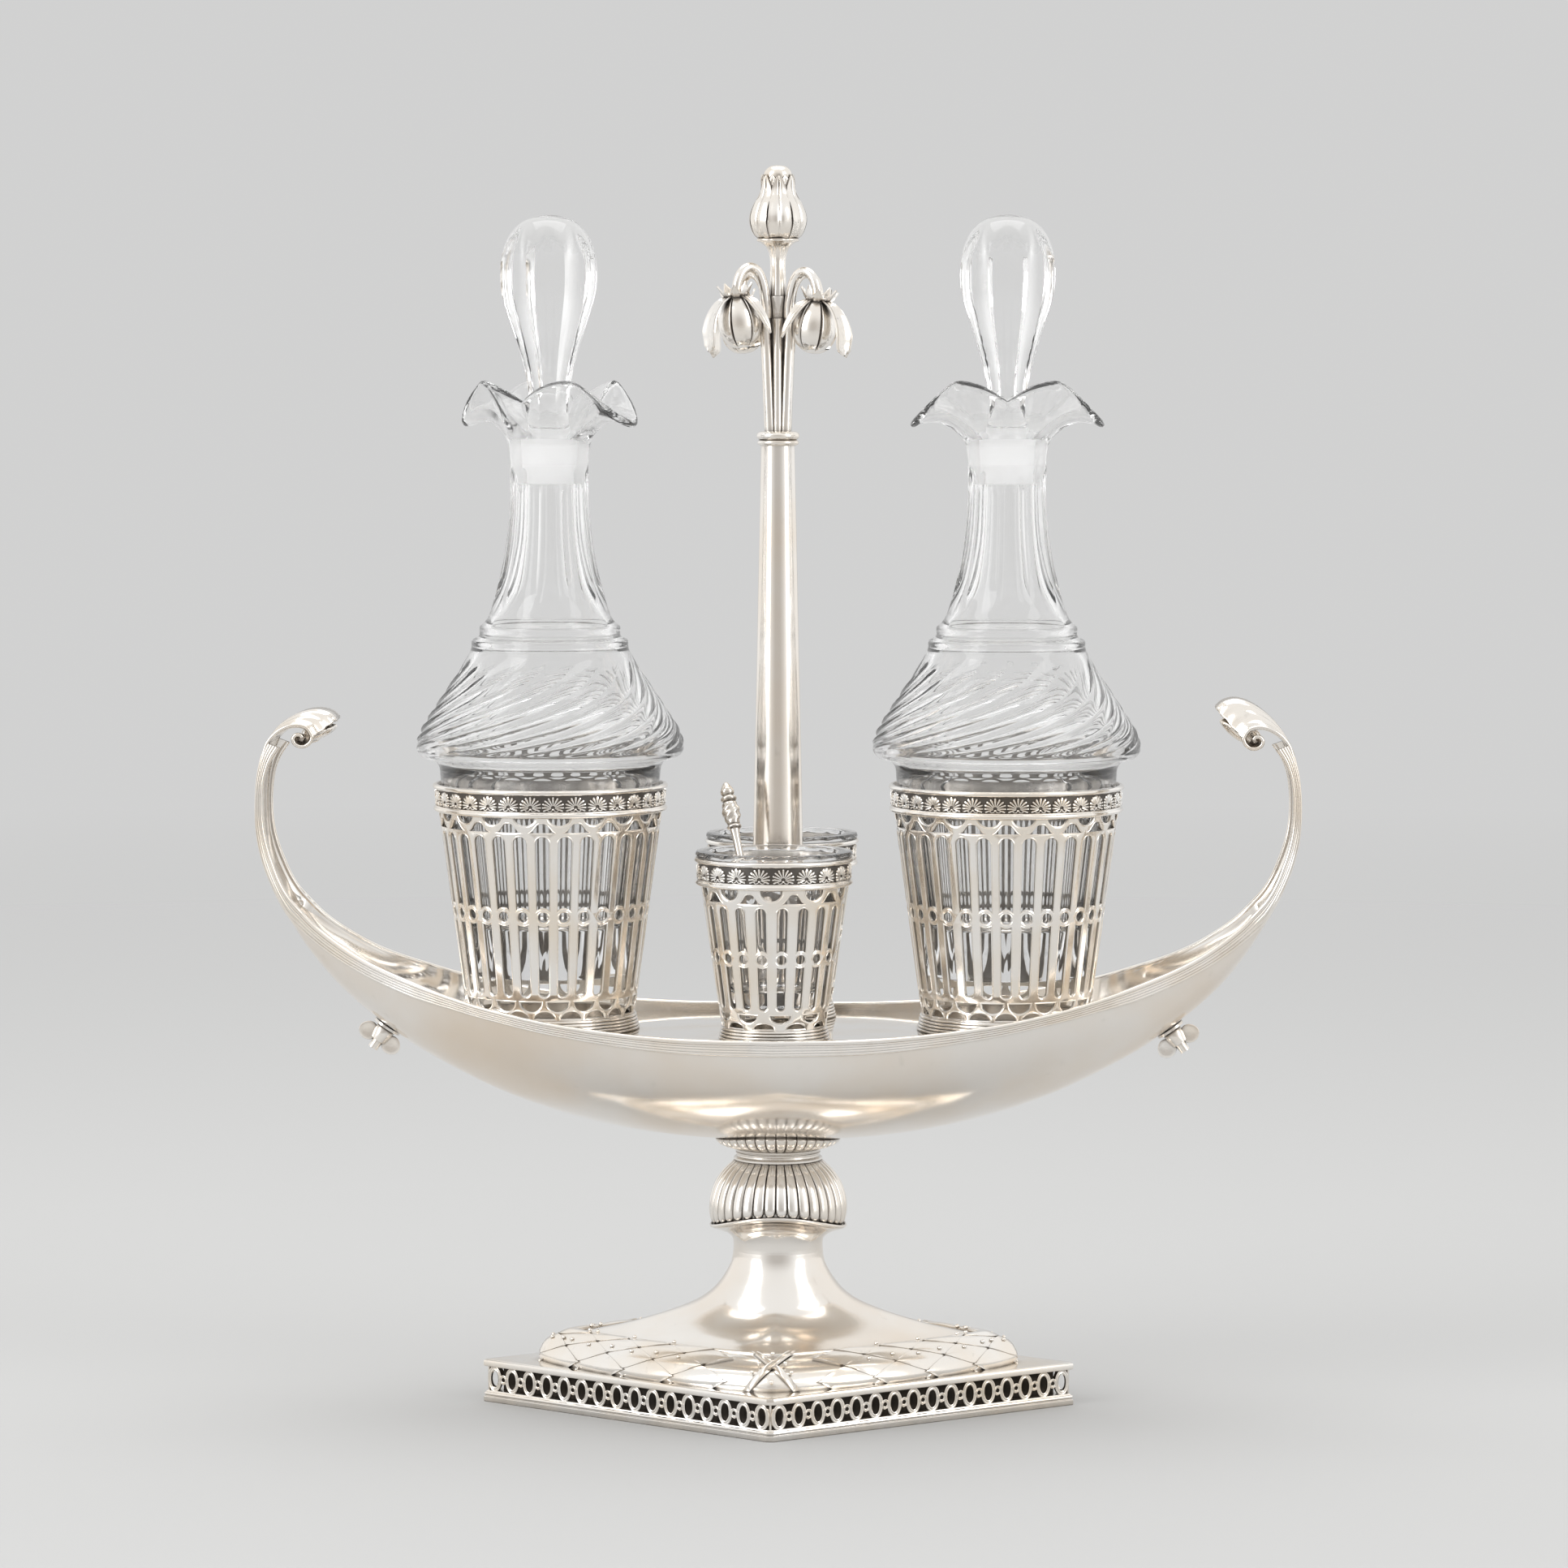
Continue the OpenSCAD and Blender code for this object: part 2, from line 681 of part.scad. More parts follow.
// A stem that arches over, with a bell of petals hanging from it
module flower(i) {
    bend_r = (flower_r - 3.3) / 2;
    bend_z = 316.8 + flower_rise[i];
    color(silver)
        rotate([0, 0, flower_angles[i]]) {
            translate([3.3 + bend_r, 0, bend_z])
                rotate([90, 0, 0])
                    rotate_extrude(angle = 180)
                        translate([bend_r, 0])
                            circle(r = 1.4);
            difference() {
                translate([3.3, 0, split_z + 0.1])
                    cylinder(r = 1.4, h = bend_z - split_z - 0.1);
                cylinder(r = 3.15, h = total_h);
            }
            translate([flower_r, 0, bend_z - 17.6])
                rotate_extrude()
                    polygon([[0, 0], [2.6, 0.2], [4.6, 2], [5.8, 5.2], [5.7, 8.4], [4.4, 11.6],
                             [2.8, 13.4], [4.2, 15], [3.6, 15.6], [1.4, 14.6], [1.4, 17.6],
                             [0, 17.6]]);
        }
}

module flower_back_left() { flower(0); }
module flower_front_left() { flower(1); }
module flower_front_right() { flower(2); }
module flower_back_right() { flower(3); }

// ---------------------------------------------------------------- glass

// Radius of the glass inside a sleeve at height z
function fit_r(r0, r1, h, z) =
    mix(r0, r1, (z - deck_z - band_h) / (h - frieze_h - band_h)) - sleeve_wall - part_gap;

module bottle() {
    low_r = fit_r(holder_foot_r, holder_top_r, holder_h, bottle_floor);
    top_r = holder_r - 2.3;
    color(glass, 0.5)
        rotate_extrude()
            polygon([
                [0, bottle_floor], [low_r - 1.2, bottle_floor], [low_r, bottle_floor + 1.2],
                [top_r - 1.1, 168.8], [top_r, 179], [top_r + 0.6, 183], [36.6, 185.2],
                [37.95, 188.3], [36.5, 192.6], [28, 204.6], [21.6, 216], [21.1, 219], [20.1, 219.4],
                [19.8, 222.4], [17, 224.5], [14.4, 232], [12.2, 240], [10.8, 249], [10.2, 258],
                [10.6, 265], [11.5, 273.5], [12.7, 278], [15.4, 282], [19, 284.6], [25.2, 282.4],
                [25.4, 284.2], [22.4, 287.6], [18.2, 288.6], [13.4, 284.6], [10.2, 279],
                [8.4, 276.6],
                [plug_r[1] + 0.15, plug_z[1]], [plug_r[0] + 0.15, plug_z[0]], [7.5, 259], [8.2, 246],
                [11.2, 233], [16.4, 222], [24.6, 206.5], [33.6, 192.4], [34.6, 188.6],
                [30, 182], [28.2, 176], [low_r - 0.8, 142], [low_r - 4, 137.6], [0, 136.4]
            ]);
}

module bottle_left() { at_bottle(-1) bottle(); }
module bottle_right() { at_bottle(1) bottle(); }

module stopper() {
    color(glass, 0.5)
        rotate_extrude()
            polygon([[0, plug_z[0]], [plug_r[0] - 0.3, plug_z[0]], [plug_r[0], plug_z[0] + 0.4],
                     [plug_r[1], plug_z[1]], [6.2, plug_z[1] + 1], [5.8, 285], [6.6, 292],
                     [9, 301], [11.8, 309], [13.7, 316], [13.95, 321], [13, 327.5], [10.6, 332.6],
                     [6.6, 336.6], [2, 338.2], [0, 338.2]]);
}

module stopper_left() { at_bottle(-1) stopper(); }
module stopper_right() { at_bottle(1) stopper(); }

module cup_liner() {
    low_r = fit_r(cup_foot_r, cup_top_r, cup_h, liner_floor);
    rest = deck_z + cup_h + 0.1;
    color(glass, 0.5)
        rotate_extrude()
            polygon([
                [0, liner_floor], [low_r - 1, liner_floor], [low_r, liner_floor + 1],
                [cup_r - 3.4, rest - 7], [cup_r - 2.3, rest - 0.2], [cup_r - 1.5, rest],
                [cup_r - 0.5, rest], [cup_r - 0.2, rest + 0.8], [cup_r - 0.8, rest + 1.6],
                [cup_r - 3.6, rest + 1.6], [cup_r - 4.6, rest - 1],
                [low_r - liner_wall, liner_floor + 7], [low_r - liner_wall - 3, liner_floor + 4.6],
                [0, liner_floor + 4]
            ]);
}

module cup_liner_front() { at_cup(-1) cup_liner(); }
module cup_liner_back() { at_cup(1) cup_liner(); }

// Salt spoon that leans on the rim of the front liner, its bowl near the bottom
module spoon() {
    color(silver)
        translate(spoon_pivot)
            rotate([0, 0, spoon_way])
                rotate([0, spoon_lean, 0]) {
                    rotate_extrude()
                        polygon([[0, 20.4], [0.6, 20.2], [1.1, 19.4], [1, 18.4], [1.9, 17.2],
                                 [1.9, 16.2], [1.3, 15.4], [1.7, 14.8], [2.2, 12.6], [1.5, 9.4],
                                 [1.6, 8.9], [1.2, 8.3], [1.1, 0], [0.9, -27], [0, -27]]);
                    translate([0, 0, -31.4])
                        rotate([0, 90, 0])
                            difference() {
                                cylinder(r = 5.2, h = 3, center = true);
                                translate([0, 0, 4.2])
                                    sphere(r = 5.1);
                            }
                }
}

foot_base_moulding();
foot_gallery();
foot_backing();
foot_top_plate();
laurel_wreath();
foot_dome();
stem_spool();
gadrooned_knop();
stem_collar();
gadrooned_disc();
tie_rod();
tie_rod_nut();
boat_hull();
rim_moulding_front();
rim_moulding_back();
handle_left();
handle_right();
volute_left();
volute_right();
deck_plate();
deck_stud_left();
deck_stud_right();
washer_left();
washer_right();
wing_nut_left();
wing_nut_right();
holder_ring_left();
holder_ring_right();
holder_sleeve_left();
holder_sleeve_right();
holder_frieze_left();
holder_frieze_right();
cup_ring_front();
cup_ring_back();
cup_sleeve_front();
cup_sleeve_back();
cup_frieze_front();
cup_frieze_back();
column_shaft();
column_ring();
stem_bundle();
bud_finial();
flower_front_left();
flower_back_left();
flower_front_right();
flower_back_right();
bottle_left();
bottle_right();
stopper_left();
stopper_right();
cup_liner_front();
cup_liner_back();
spoon();
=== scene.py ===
"""Cruet set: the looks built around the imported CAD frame. Lengths here are in millimetres."""
import json
from math import asin, cos, hypot, pi, radians, sin
from math import degrees as in_degrees

import bmesh
import bpy
import numpy as np
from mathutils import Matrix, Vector
from mathutils.geometry import delaunay_2d_cdt


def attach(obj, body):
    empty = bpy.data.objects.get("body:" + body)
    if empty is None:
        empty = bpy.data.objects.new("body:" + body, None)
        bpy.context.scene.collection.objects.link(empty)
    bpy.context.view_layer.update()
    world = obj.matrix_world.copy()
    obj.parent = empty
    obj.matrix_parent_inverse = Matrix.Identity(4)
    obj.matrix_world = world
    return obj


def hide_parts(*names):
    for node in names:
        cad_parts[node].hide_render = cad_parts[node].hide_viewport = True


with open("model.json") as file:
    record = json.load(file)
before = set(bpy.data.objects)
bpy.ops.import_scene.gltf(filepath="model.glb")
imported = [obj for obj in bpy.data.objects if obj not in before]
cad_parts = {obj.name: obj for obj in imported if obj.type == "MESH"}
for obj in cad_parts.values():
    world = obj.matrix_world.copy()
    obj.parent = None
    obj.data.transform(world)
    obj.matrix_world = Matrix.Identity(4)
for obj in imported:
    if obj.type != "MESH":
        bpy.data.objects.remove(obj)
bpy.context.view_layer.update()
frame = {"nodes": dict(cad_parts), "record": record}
MM = 0.001
TAU = 2 * pi
SCENE = bpy.context.scene


# ------------------------------------------------------------------ helpers
def smoothstep(a, b, x):
    t = np.clip((np.asarray(x, float) - a) / (b - a), 0, 1)
    return t * t * (3 - 2 * t)


def mix(a, b, t):
    return a + (b - a) * t


def spline(points, per=6):
    """Smooth curve through the points. A point given twice in a row is a sharp corner."""
    pts = [np.array(p, float) for p in points]
    runs = [[pts[0]]]
    for a, b in zip(pts, pts[1:]):
        if np.allclose(a, b):
            runs.append([b])
        else:
            runs[-1].append(b)
    out = []
    for run in runs:
        run = np.array(run)
        if len(run) == 1:
            continue
        t = np.r_[0, np.cumsum(np.linalg.norm(np.diff(run, axis=0), axis=1))]
        m = np.empty_like(run)
        m[1:-1] = (run[2:] - run[:-2]) / (t[2:] - t[:-2])[:, None]
        m[0] = (run[1] - run[0]) / (t[1] - t[0])
        m[-1] = (run[-1] - run[-2]) / (t[-1] - t[-2])
        for i in range(len(run) - 1):
            h = t[i + 1] - t[i]
            for k in range(per):
                u = k / per
                out.append((2 * u**3 - 3 * u**2 + 1) * run[i] + (u**3 - 2 * u**2 + u) * h * m[i]
                    + (3 * u**2 - 2 * u**3) * run[i + 1] + (u**3 - u**2) * h * m[i + 1])
        out.append(run[-1])
    out = np.array(out)
    keep = np.r_[True, np.linalg.norm(np.diff(out, axis=0), axis=1) > 1e-6]
    return out[keep]


def resample(points, n):
    """n points evenly spaced along a polyline."""
    points = np.asarray(points, float)
    t = np.r_[0, np.cumsum(np.linalg.norm(np.diff(points, axis=0), axis=1))]
    u = np.linspace(0, t[-1], n)
    return np.stack([np.interp(u, t, points[:, k]) for k in range(points.shape[1])], 1)


def oval(cx, cy, rx, ry, a0, a1, n):
    """Points along an ellipse, from angle a0 to a1 in degrees."""
    return [(cx + rx * cos(t), cy + ry * sin(t)) for t in np.radians(np.linspace(a0, a1, n))]


def arc(cx, cy, r, a0, a1, n):
    return oval(cx, cy, r, r, a0, a1, n)


def polar(r, angle, z):
    """Points from radius, angle and height."""
    return np.stack([r * np.cos(angle), r * np.sin(angle), z + 0 * angle], -1)


def lobes(count, steps, shift):
    """Angles of a lobed ring's columns, and each column's distance from its lobe's middle."""
    steps = np.array(steps)
    angles = ((np.arange(count)[:, None] + shift + steps / 2) * TAU / count).ravel()
    return angles, np.abs(np.tile(steps, count))


def quads(nu, nv, wrap_u=False, wrap_v=False):
    i, j = np.meshgrid(np.arange(nu if wrap_u else nu - 1), np.arange(nv if wrap_v else nv - 1),
        indexing="ij")
    i2, j2 = (i + 1) % nu, (j + 1) % nv
    return np.stack([i * nv + j, i2 * nv + j, i2 * nv + j2, i * nv + j2], -1).reshape(-1, 4)


class Piece:
    """Collects surfaces and makes one Blender object of them."""

    def __init__(self):
        self.verts, self.faces, self.slots, self.count = [], [], [], 0

    def add(self, verts, faces, slot=0):
        verts = np.asarray(verts, float).reshape(-1, 3)
        self.verts.append(verts)
        for f in faces:
            self.faces.append([int(k) + self.count for k in f])
            self.slots.append(slot)
        self.count += len(verts)
        return self

    def grid(self, p, wrap_u=False, wrap_v=False, slot=0):
        nu, nv = p.shape[:2]
        return self.add(p, quads(nu, nv, wrap_u, wrap_v), slot)

    def loft(self, rings, **kw):
        """Surface through closed rings."""
        return self.grid(rings, wrap_v=True, **kw)

    def tube(self, path, radius, sides=10, slot=0, closed=False, flat=1.0, up=(0, 0, 1)):
        """Round or flattened tube along a path; radius may be one number or one per point."""
        path = np.asarray(path, float)
        n = len(path)
        rad = np.broadcast_to(np.asarray(radius, float), (n,))
        tan = (np.roll(path, -1, 0) - np.roll(path, 1, 0)) if closed else np.gradient(path, axis=0)
        tan /= np.linalg.norm(tan, axis=1)[:, None] + 1e-12
        ref = np.array(up, float)
        side = np.zeros_like(path)
        prev = None
        for k in range(n):
            s = np.cross(tan[k], ref) if prev is None else prev - tan[k] * prev.dot(tan[k])
            if np.linalg.norm(s) < 1e-6:
                s = np.cross(tan[k], (1, 0, 0))
            side[k] = s / np.linalg.norm(s)
            prev = side[k]
        nor = np.cross(side, tan)
        a = np.arange(sides) * TAU / sides
        p = path[:, None] + rad[:, None, None] * (np.cos(a)[None, :, None] * side[:, None]
            + flat * np.sin(a)[None, :, None] * nor[:, None])
        self.loft(p, wrap_u=closed, slot=slot)
        if not closed:
            base = self.count - n * sides
            self.faces.append(list(range(base, base + sides))[::-1])
            self.faces.append(list(range(base + (n - 1) * sides, base + n * sides)))
            self.slots += [slot, slot]
        return self

    def lathe(self, profile, seg, shape=None, **kw):
        return self.loft(revolve(profile, seg, shape), **kw)

    def ball(self, centre, radius, rings=8, seg=12, stretch=(1, 1, 1), slot=0):
        t = np.linspace(0, pi, rings + 1)[:, None]
        a = np.arange(seg)[None] * TAU / seg
        p = np.stack([np.sin(t) * np.cos(a), np.sin(t) * np.sin(a), np.cos(t) + 0 * a], -1)
        return self.loft(p * radius * np.array(stretch) + np.array(centre), slot=slot)

    def copy(self, matrix):
        """The piece's points through a 4x4 numpy matrix, as a new piece."""
        new = Piece()
        v = np.concatenate(self.verts)
        new.verts = [v @ matrix[:3, :3].T + matrix[:3, 3]]
        new.faces, new.slots, new.count = [list(f) for f in self.faces], list(self.slots), self.count
        return new

    def merge(self, other):
        for v in other.verts:
            self.verts.append(v)
        self.faces += [[k + self.count for k in f] for f in other.faces]
        self.slots += other.slots
        self.count += other.count
        return self

    def make(self, name, mats, stands_for, sharp, body="stand", slot="silver", weld=1e-6, recalc=True):
        """One object of the surfaces, which rides on a body in place of CAD nodes."""
        me = bpy.data.meshes.new(name)
        v = np.concatenate(self.verts) * MM
        me.from_pydata(v.tolist(), [], self.faces)
        for m in mats if isinstance(mats, (list, tuple)) else [mats]:
            me.materials.append(m)
        me.polygons.foreach_set("material_index", self.slots)
        bm = bmesh.new()
        bm.from_mesh(me)
        bmesh.ops.remove_doubles(bm, verts=bm.verts, dist=weld)
        bmesh.ops.dissolve_degenerate(bm, dist=1e-8, edges=bm.edges)
        if recalc:
            bmesh.ops.recalc_face_normals(bm, faces=bm.faces)
        bm.to_mesh(me)
        bm.free()
        me.shade_smooth()
        me.set_sharp_from_angle(angle=radians(sharp))
        ob = bpy.data.objects.new(name, me)
        SCENE.collection.objects.link(ob)
        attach(ob, body)
        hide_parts(*stands_for.split())


def matrix(x=(1, 0, 0), y=(0, 1, 0), z=(0, 0, 1), at=(0, 0, 0)):
    m = np.eye(4)
    m[:3, 0], m[:3, 1], m[:3, 2], m[:3, 3] = x, y, z, at
    return m


def turn_z(angle, at=(0, 0, 0)):
    c, s = cos(angle), sin(angle)
    return matrix((c, s, 0), (-s, c, 0), (0, 0, 1), at)


def revolve(profile, seg, shape=None):
    """Grid of a surface of revolution. shape(angle, r, z) may return new r and z."""
    profile = np.asarray(profile, float)
    a = np.arange(seg)[None] * TAU / seg
    r = profile[:, :1] + 0 * a
    z = profile[:, 1:] + 0 * a
    a = a + 0 * r
    if shape:
        r, z = shape(a, r, z)
    return polar(r, a, z)


# ---------------------------------------------------------------- materials
def new_material(name):
    mat = bpy.data.materials.new(name)
    mat.use_nodes = True
    tree = mat.node_tree
    bsdf = tree.nodes["Principled BSDF"]
    coord = tree.nodes.new("ShaderNodeTexCoord")
    return mat, tree, bsdf, coord


def put(node, **values):
    """Sets a node's inputs; an underscore in a key stands for a space."""
    for key, value in values.items():
        node.inputs[key.replace("_", " ")].default_value = value


def noise(tree, coord, scale, detail=3.0, stretch=None):
    tex = tree.nodes.new("ShaderNodeTexNoise")
    put(tex, Scale=scale, Detail=detail)
    source = coord.outputs["Object"]
    if stretch:
        mapping = tree.nodes.new("ShaderNodeMapping")
        put(mapping, Scale=stretch[:3], Rotation=stretch[3:])
        tree.links.new(source, mapping.inputs["Vector"])
        source = mapping.outputs["Vector"]
    tree.links.new(source, tex.inputs["Vector"])
    return tex.outputs["Fac"]


def remap(tree, value, lo, hi, to_lo, to_hi):
    node = tree.nodes.new("ShaderNodeMapRange")
    put(node, From_Min=lo, From_Max=hi, To_Min=to_lo, To_Max=to_hi)
    tree.links.new(value, node.inputs["Value"])
    return node.outputs["Result"]


def blend_colour(tree, factor, a, b):
    node = tree.nodes.new("ShaderNodeMix")
    node.data_type = "RGBA"
    tree.links.new(factor, node.inputs["Factor"])
    for key, val in (("A", a), ("B", b)):
        socket = [s for s in node.inputs if s.name == key and s.type == "RGBA"][0]
        if isinstance(val, tuple):
            socket.default_value = (*val, 1)
        else:
            tree.links.new(val, socket)
    return [s for s in node.outputs if s.type == "RGBA"][0]


def add_bump(tree, bsdf, heights):
    """Chains bump nodes: heights holds (value socket, strength, distance in mm)."""
    last = None
    for value, strength, distance in heights:
        bump = tree.nodes.new("ShaderNodeBump")
        put(bump, Strength=strength, Distance=distance * MM)
        tree.links.new(value, bump.inputs["Height"])
        if last:
            tree.links.new(last, bump.inputs["Normal"])
        last = bump.outputs["Normal"]
    tree.links.new(last, bsdf.inputs["Normal"])


def math_node(tree, operation, a, b):
    node = tree.nodes.new("ShaderNodeMath")
    node.operation = operation
    for k, val in enumerate((a, b)):
        if isinstance(val, (int, float)):
            node.inputs[k].default_value = val
        else:
            tree.links.new(val, node.inputs[k])
    return node.outputs["Value"]


def silver(name, tint=(0.93, 0.9, 0.86), rough=(0.07, 0.2), tarnish_and_shade=0.75, reach=3.0, wave=0.05,
        dark=(0.17, 0.145, 0.12), cut=(0.35, 0.9), cloudy=45, film=(0.96, 0.9, 0.82)):
    """Polished silver with tarnished recesses that are also darkened as painted shade (where ambient
    occlusion finds them), soft waves and fine scratches.
    """
    mat, tree, bsdf, coord = new_material(name)
    cloud = noise(tree, coord, cloudy, 4)
    stain = noise(tree, coord, 260, 3)
    fine = noise(tree, coord, 900, 2)
    scratch = noise(tree, coord, 500, 2, (1, 0.06, 0.5, 0.3, 0.5, 0.8))
    wear = noise(tree, coord, 420, 2, (0.05, 1, 0.8, 0.9, 0.2, 0.1))
    # painted shade: ambient occlusion darkens and roughens the recesses, standing in for the shade there as
    # well as for tarnished silver
    ao = tree.nodes.new("ShaderNodeAmbientOcclusion")
    ao.samples = 6
    put(ao, Distance=reach * MM)
    shade_and_tarnish = remap(tree, ao.outputs["AO"], cut[0], cut[1], tarnish_and_shade, 0)
    speckle = remap(tree, stain, 0.35, 0.65, 0.72, 1.0)
    shade_and_tarnish = math_node(tree, "MULTIPLY", shade_and_tarnish, speckle)
    spots = remap(tree, stain, 0.66, 0.8, 0, 0.22 * tarnish_and_shade)
    shade_and_tarnish = math_node(tree, "MAXIMUM", shade_and_tarnish, spots)
    warm = tuple(c * k for c, k in zip(tint, film))
    base = blend_colour(tree, remap(tree, cloud, 0.4, 0.7, 0, 1), tint, warm)
    # the colour goes towards the dark tone by the painted shade in recesses, the tarnishing and the stains
    colour = blend_colour(tree, shade_and_tarnish, base, dark)
    tree.links.new(colour, bsdf.inputs["Base Color"])
    put(bsdf, Metallic=1.0)
    shine = remap(tree, cloud, 0.3, 0.7, rough[0], rough[1])
    shine = math_node(tree, "ADD", shine, math_node(tree, "MULTIPLY", shade_and_tarnish, 0.3))
    tree.links.new(shine, bsdf.inputs["Roughness"])
    add_bump(tree, bsdf, [(cloud, wave, 1.0), (scratch, 0.05, 0.05), (wear, 0.05, 0.05),
        (fine, 0.03, 0.05)])
    return mat


def glass(name, rough=0.0, clear=0.97, painted_light=0.0):
    """Glass with a slight smear; clear is its transmission. The emission strength is painted light,
    standing in for the light scattered in it.
    """
    mat, tree, bsdf, coord = new_material(name)
    # painted light: a white emission in the glass
    put(bsdf, Emission_Strength=painted_light, Base_Color=(1, 1, 1, 1), Transmission_Weight=clear, IOR=1.4)
    smear = noise(tree, coord, 70, 3)
    tree.links.new(remap(tree, smear, 0.3, 0.75, rough, rough + 0.02 + rough * 0.5),
        bsdf.inputs["Roughness"])
    add_bump(tree, bsdf, [(noise(tree, coord, 120, 2), 0.03, 0.1)])
    return mat


SILVER = silver("polished_silver")
HULL_SILVER = silver("hull_silver", tint=(0.885, 0.85, 0.805), rough=(0.1, 0.22), tarnish_and_shade=0.5, reach=5,
    wave=0.09, cloudy=24, film=(0.95, 0.87, 0.78))
CAST_SILVER = silver("cast_silver", tint=(0.92, 0.89, 0.85), rough=(0.1, 0.22), tarnish_and_shade=0.95, reach=2.0,
    wave=0.1, dark=(0.085, 0.07, 0.06), cut=(0.35, 0.92))
WREATH_SILVER = silver("wreath_silver", rough=(0.08, 0.2), tarnish_and_shade=0.8, reach=1.0, wave=0.12)
PIERCED_SILVER = silver("pierced_silver", rough=(0.12, 0.22), tarnish_and_shade=0.35, reach=0.8,
    film=(0.95, 0.88, 0.78))
INSIDE_SILVER = silver("sleeve_inside", tint=(0.78, 0.74, 0.68), rough=(0.2, 0.35), tarnish_and_shade=0.8)
OXIDE = silver("oxidised_ground", tint=(0.12, 0.112, 0.105), rough=(0.3, 0.45), tarnish_and_shade=0.5)
# painted shade: near-black silver for the sheet behind the foot's gallery, standing in for the shade inside
# the hollow foot
SHADE_SHEET = silver("painted_shade_sheet", tint=(0.05, 0.045, 0.04), rough=(0.4, 0.6), tarnish_and_shade=0.5)
SPOON_SILVER = silver("spoon_silver", tint=(0.72, 0.69, 0.65), rough=(0.1, 0.2), tarnish_and_shade=0.9, reach=1.6,
    dark=(0.08, 0.07, 0.06), cut=(0.35, 0.9))
RELIEF = silver("palmette_relief", tint=(0.97, 0.95, 0.92), rough=(0.15, 0.25), tarnish_and_shade=0.3, reach=0.3,
    dark=(0.1, 0.088, 0.078), cut=(0.3, 0.8))
MIRROR = silver("deck_silver", rough=(0.03, 0.09), tarnish_and_shade=0.35, reach=3, wave=0.02)
STEEL = silver("rod_steel", tint=(0.5, 0.49, 0.48), rough=(0.25, 0.4), tarnish_and_shade=0.5)
CLEAR = glass("clear_glass")
# ground and hazed glass glows a little: painted light, an emission standing in for light scattered through
# them
FROSTED_PAINTED_LIGHT = glass("ground_glass_painted_light", rough=0.45, clear=0.6, painted_light=0.07)
HAZY_PAINTED_LIGHT = glass("hazed_band_painted_light", rough=0.12, clear=0.9, painted_light=0.03)

# ------------------------------------------------------------- boat's curves
# Side view of the rim and of the keel, amidships to the volute's tip (x, z)
RIM = [(0, 109), (30, 109.6), (60, 112.5), (80, 116.2), (92, 119.4), (101, 122.3), (111, 126), (118, 129.3),
    (124, 132.9), (130, 137.3), (134.4, 141.5), (138, 145.6), (140.6, 150), (142.6, 154.8), (144.2, 159.6),
    (145.3, 164.8), (145.7, 170.4), (145.5, 176.2), (144.7, 181), (143.2, 185), (141, 188.4)]
KEEL = [(0, 76.5), (20, 77), (40, 79.2), (60, 83.6), (80, 90.7), (101, 101.5), (110, 107.6), (118, 113.8),
    (126, 121.3), (132, 129), (137.2, 137.7), (140.6, 143.7), (142.9, 148.4), (145, 153.2), (146.6, 158.4),
    (147.6, 164.2), (147.9, 170.4), (147.7, 176.6), (147, 182), (145.9, 186.6), (144.6, 189.8)]
HULL_STEPS = 11   # knots up to the hull's end
DECK_Z = 107.7
HULL_WALL = 1.2


def rim_half_width(x):
    return 12 + 36.5 * np.clip(1 - (np.abs(x) / 150) ** 2, 0, None) ** 1.58


PER = 9
RIM_LINE = spline(RIM, PER)
KEEL_LINE = spline(KEEL, PER)
STATION = np.arange(len(RIM_LINE)) / PER
RIM_W = np.where(RIM_LINE[:, 0] > 134.4, 0, rim_half_width(RIM_LINE[:, 0]))
_i = int(HULL_STEPS - 1) * PER
RIM_W[_i:] = mix(RIM_W[_i - 1], 12, smoothstep(_i, _i + 5 * PER, np.arange(_i, len(RIM_W))))
BOXY = mix(2, 7, smoothstep(HULL_STEPS - 3, HULL_STEPS + 1.5, STATION))


def both_sides(a):
    """Right half of the boat's stations joined to its mirror image."""
    left = a[:0:-1].copy()
    left[..., 0] *= -1
    return np.concatenate([left, a])


def boat_surface(depth, cols):
    """Grid of the boat's skin at a depth into its wall, right half."""
    a = np.linspace(-1, 1, cols) * pi / 2
    # even steps across a boxy section need the angle bent towards the edges
    y = np.sign(np.sin(a)) * np.abs(np.sin(a))[None] ** (2 / BOXY[:, None])
    d = 1 - np.abs(np.cos(a))[None] ** (2 / BOXY[:, None])
    w = (RIM_W - depth)[:, None]
    span = RIM_LINE - KEEL_LINE
    unit = span / np.linalg.norm(span, axis=1)[:, None]
    low = KEEL_LINE + unit * depth
    p = low[:, None] + d[..., None] * (RIM_LINE - low)[:, None]
    return np.stack([p[..., 0], w * y, p[..., 1]], -1)


def make_boat():
    cols = 61
    outer = both_sides(boat_surface(0, cols))
    inner = both_sides(boat_surface(HULL_WALL, cols))
    b = Piece()
    b.grid(outer)
    b.grid(inner[:, ::-1])
    for end in (0, -1):
        b.grid(np.stack([outer[:, end], inner[:, end]], 1))
    for end in (0, -1):
        b.grid(np.stack([outer[end], inner[end]]))
    b.make("boat_shell", HULL_SILVER, "boat_hull handle_left handle_right", 50, weld=2e-6)


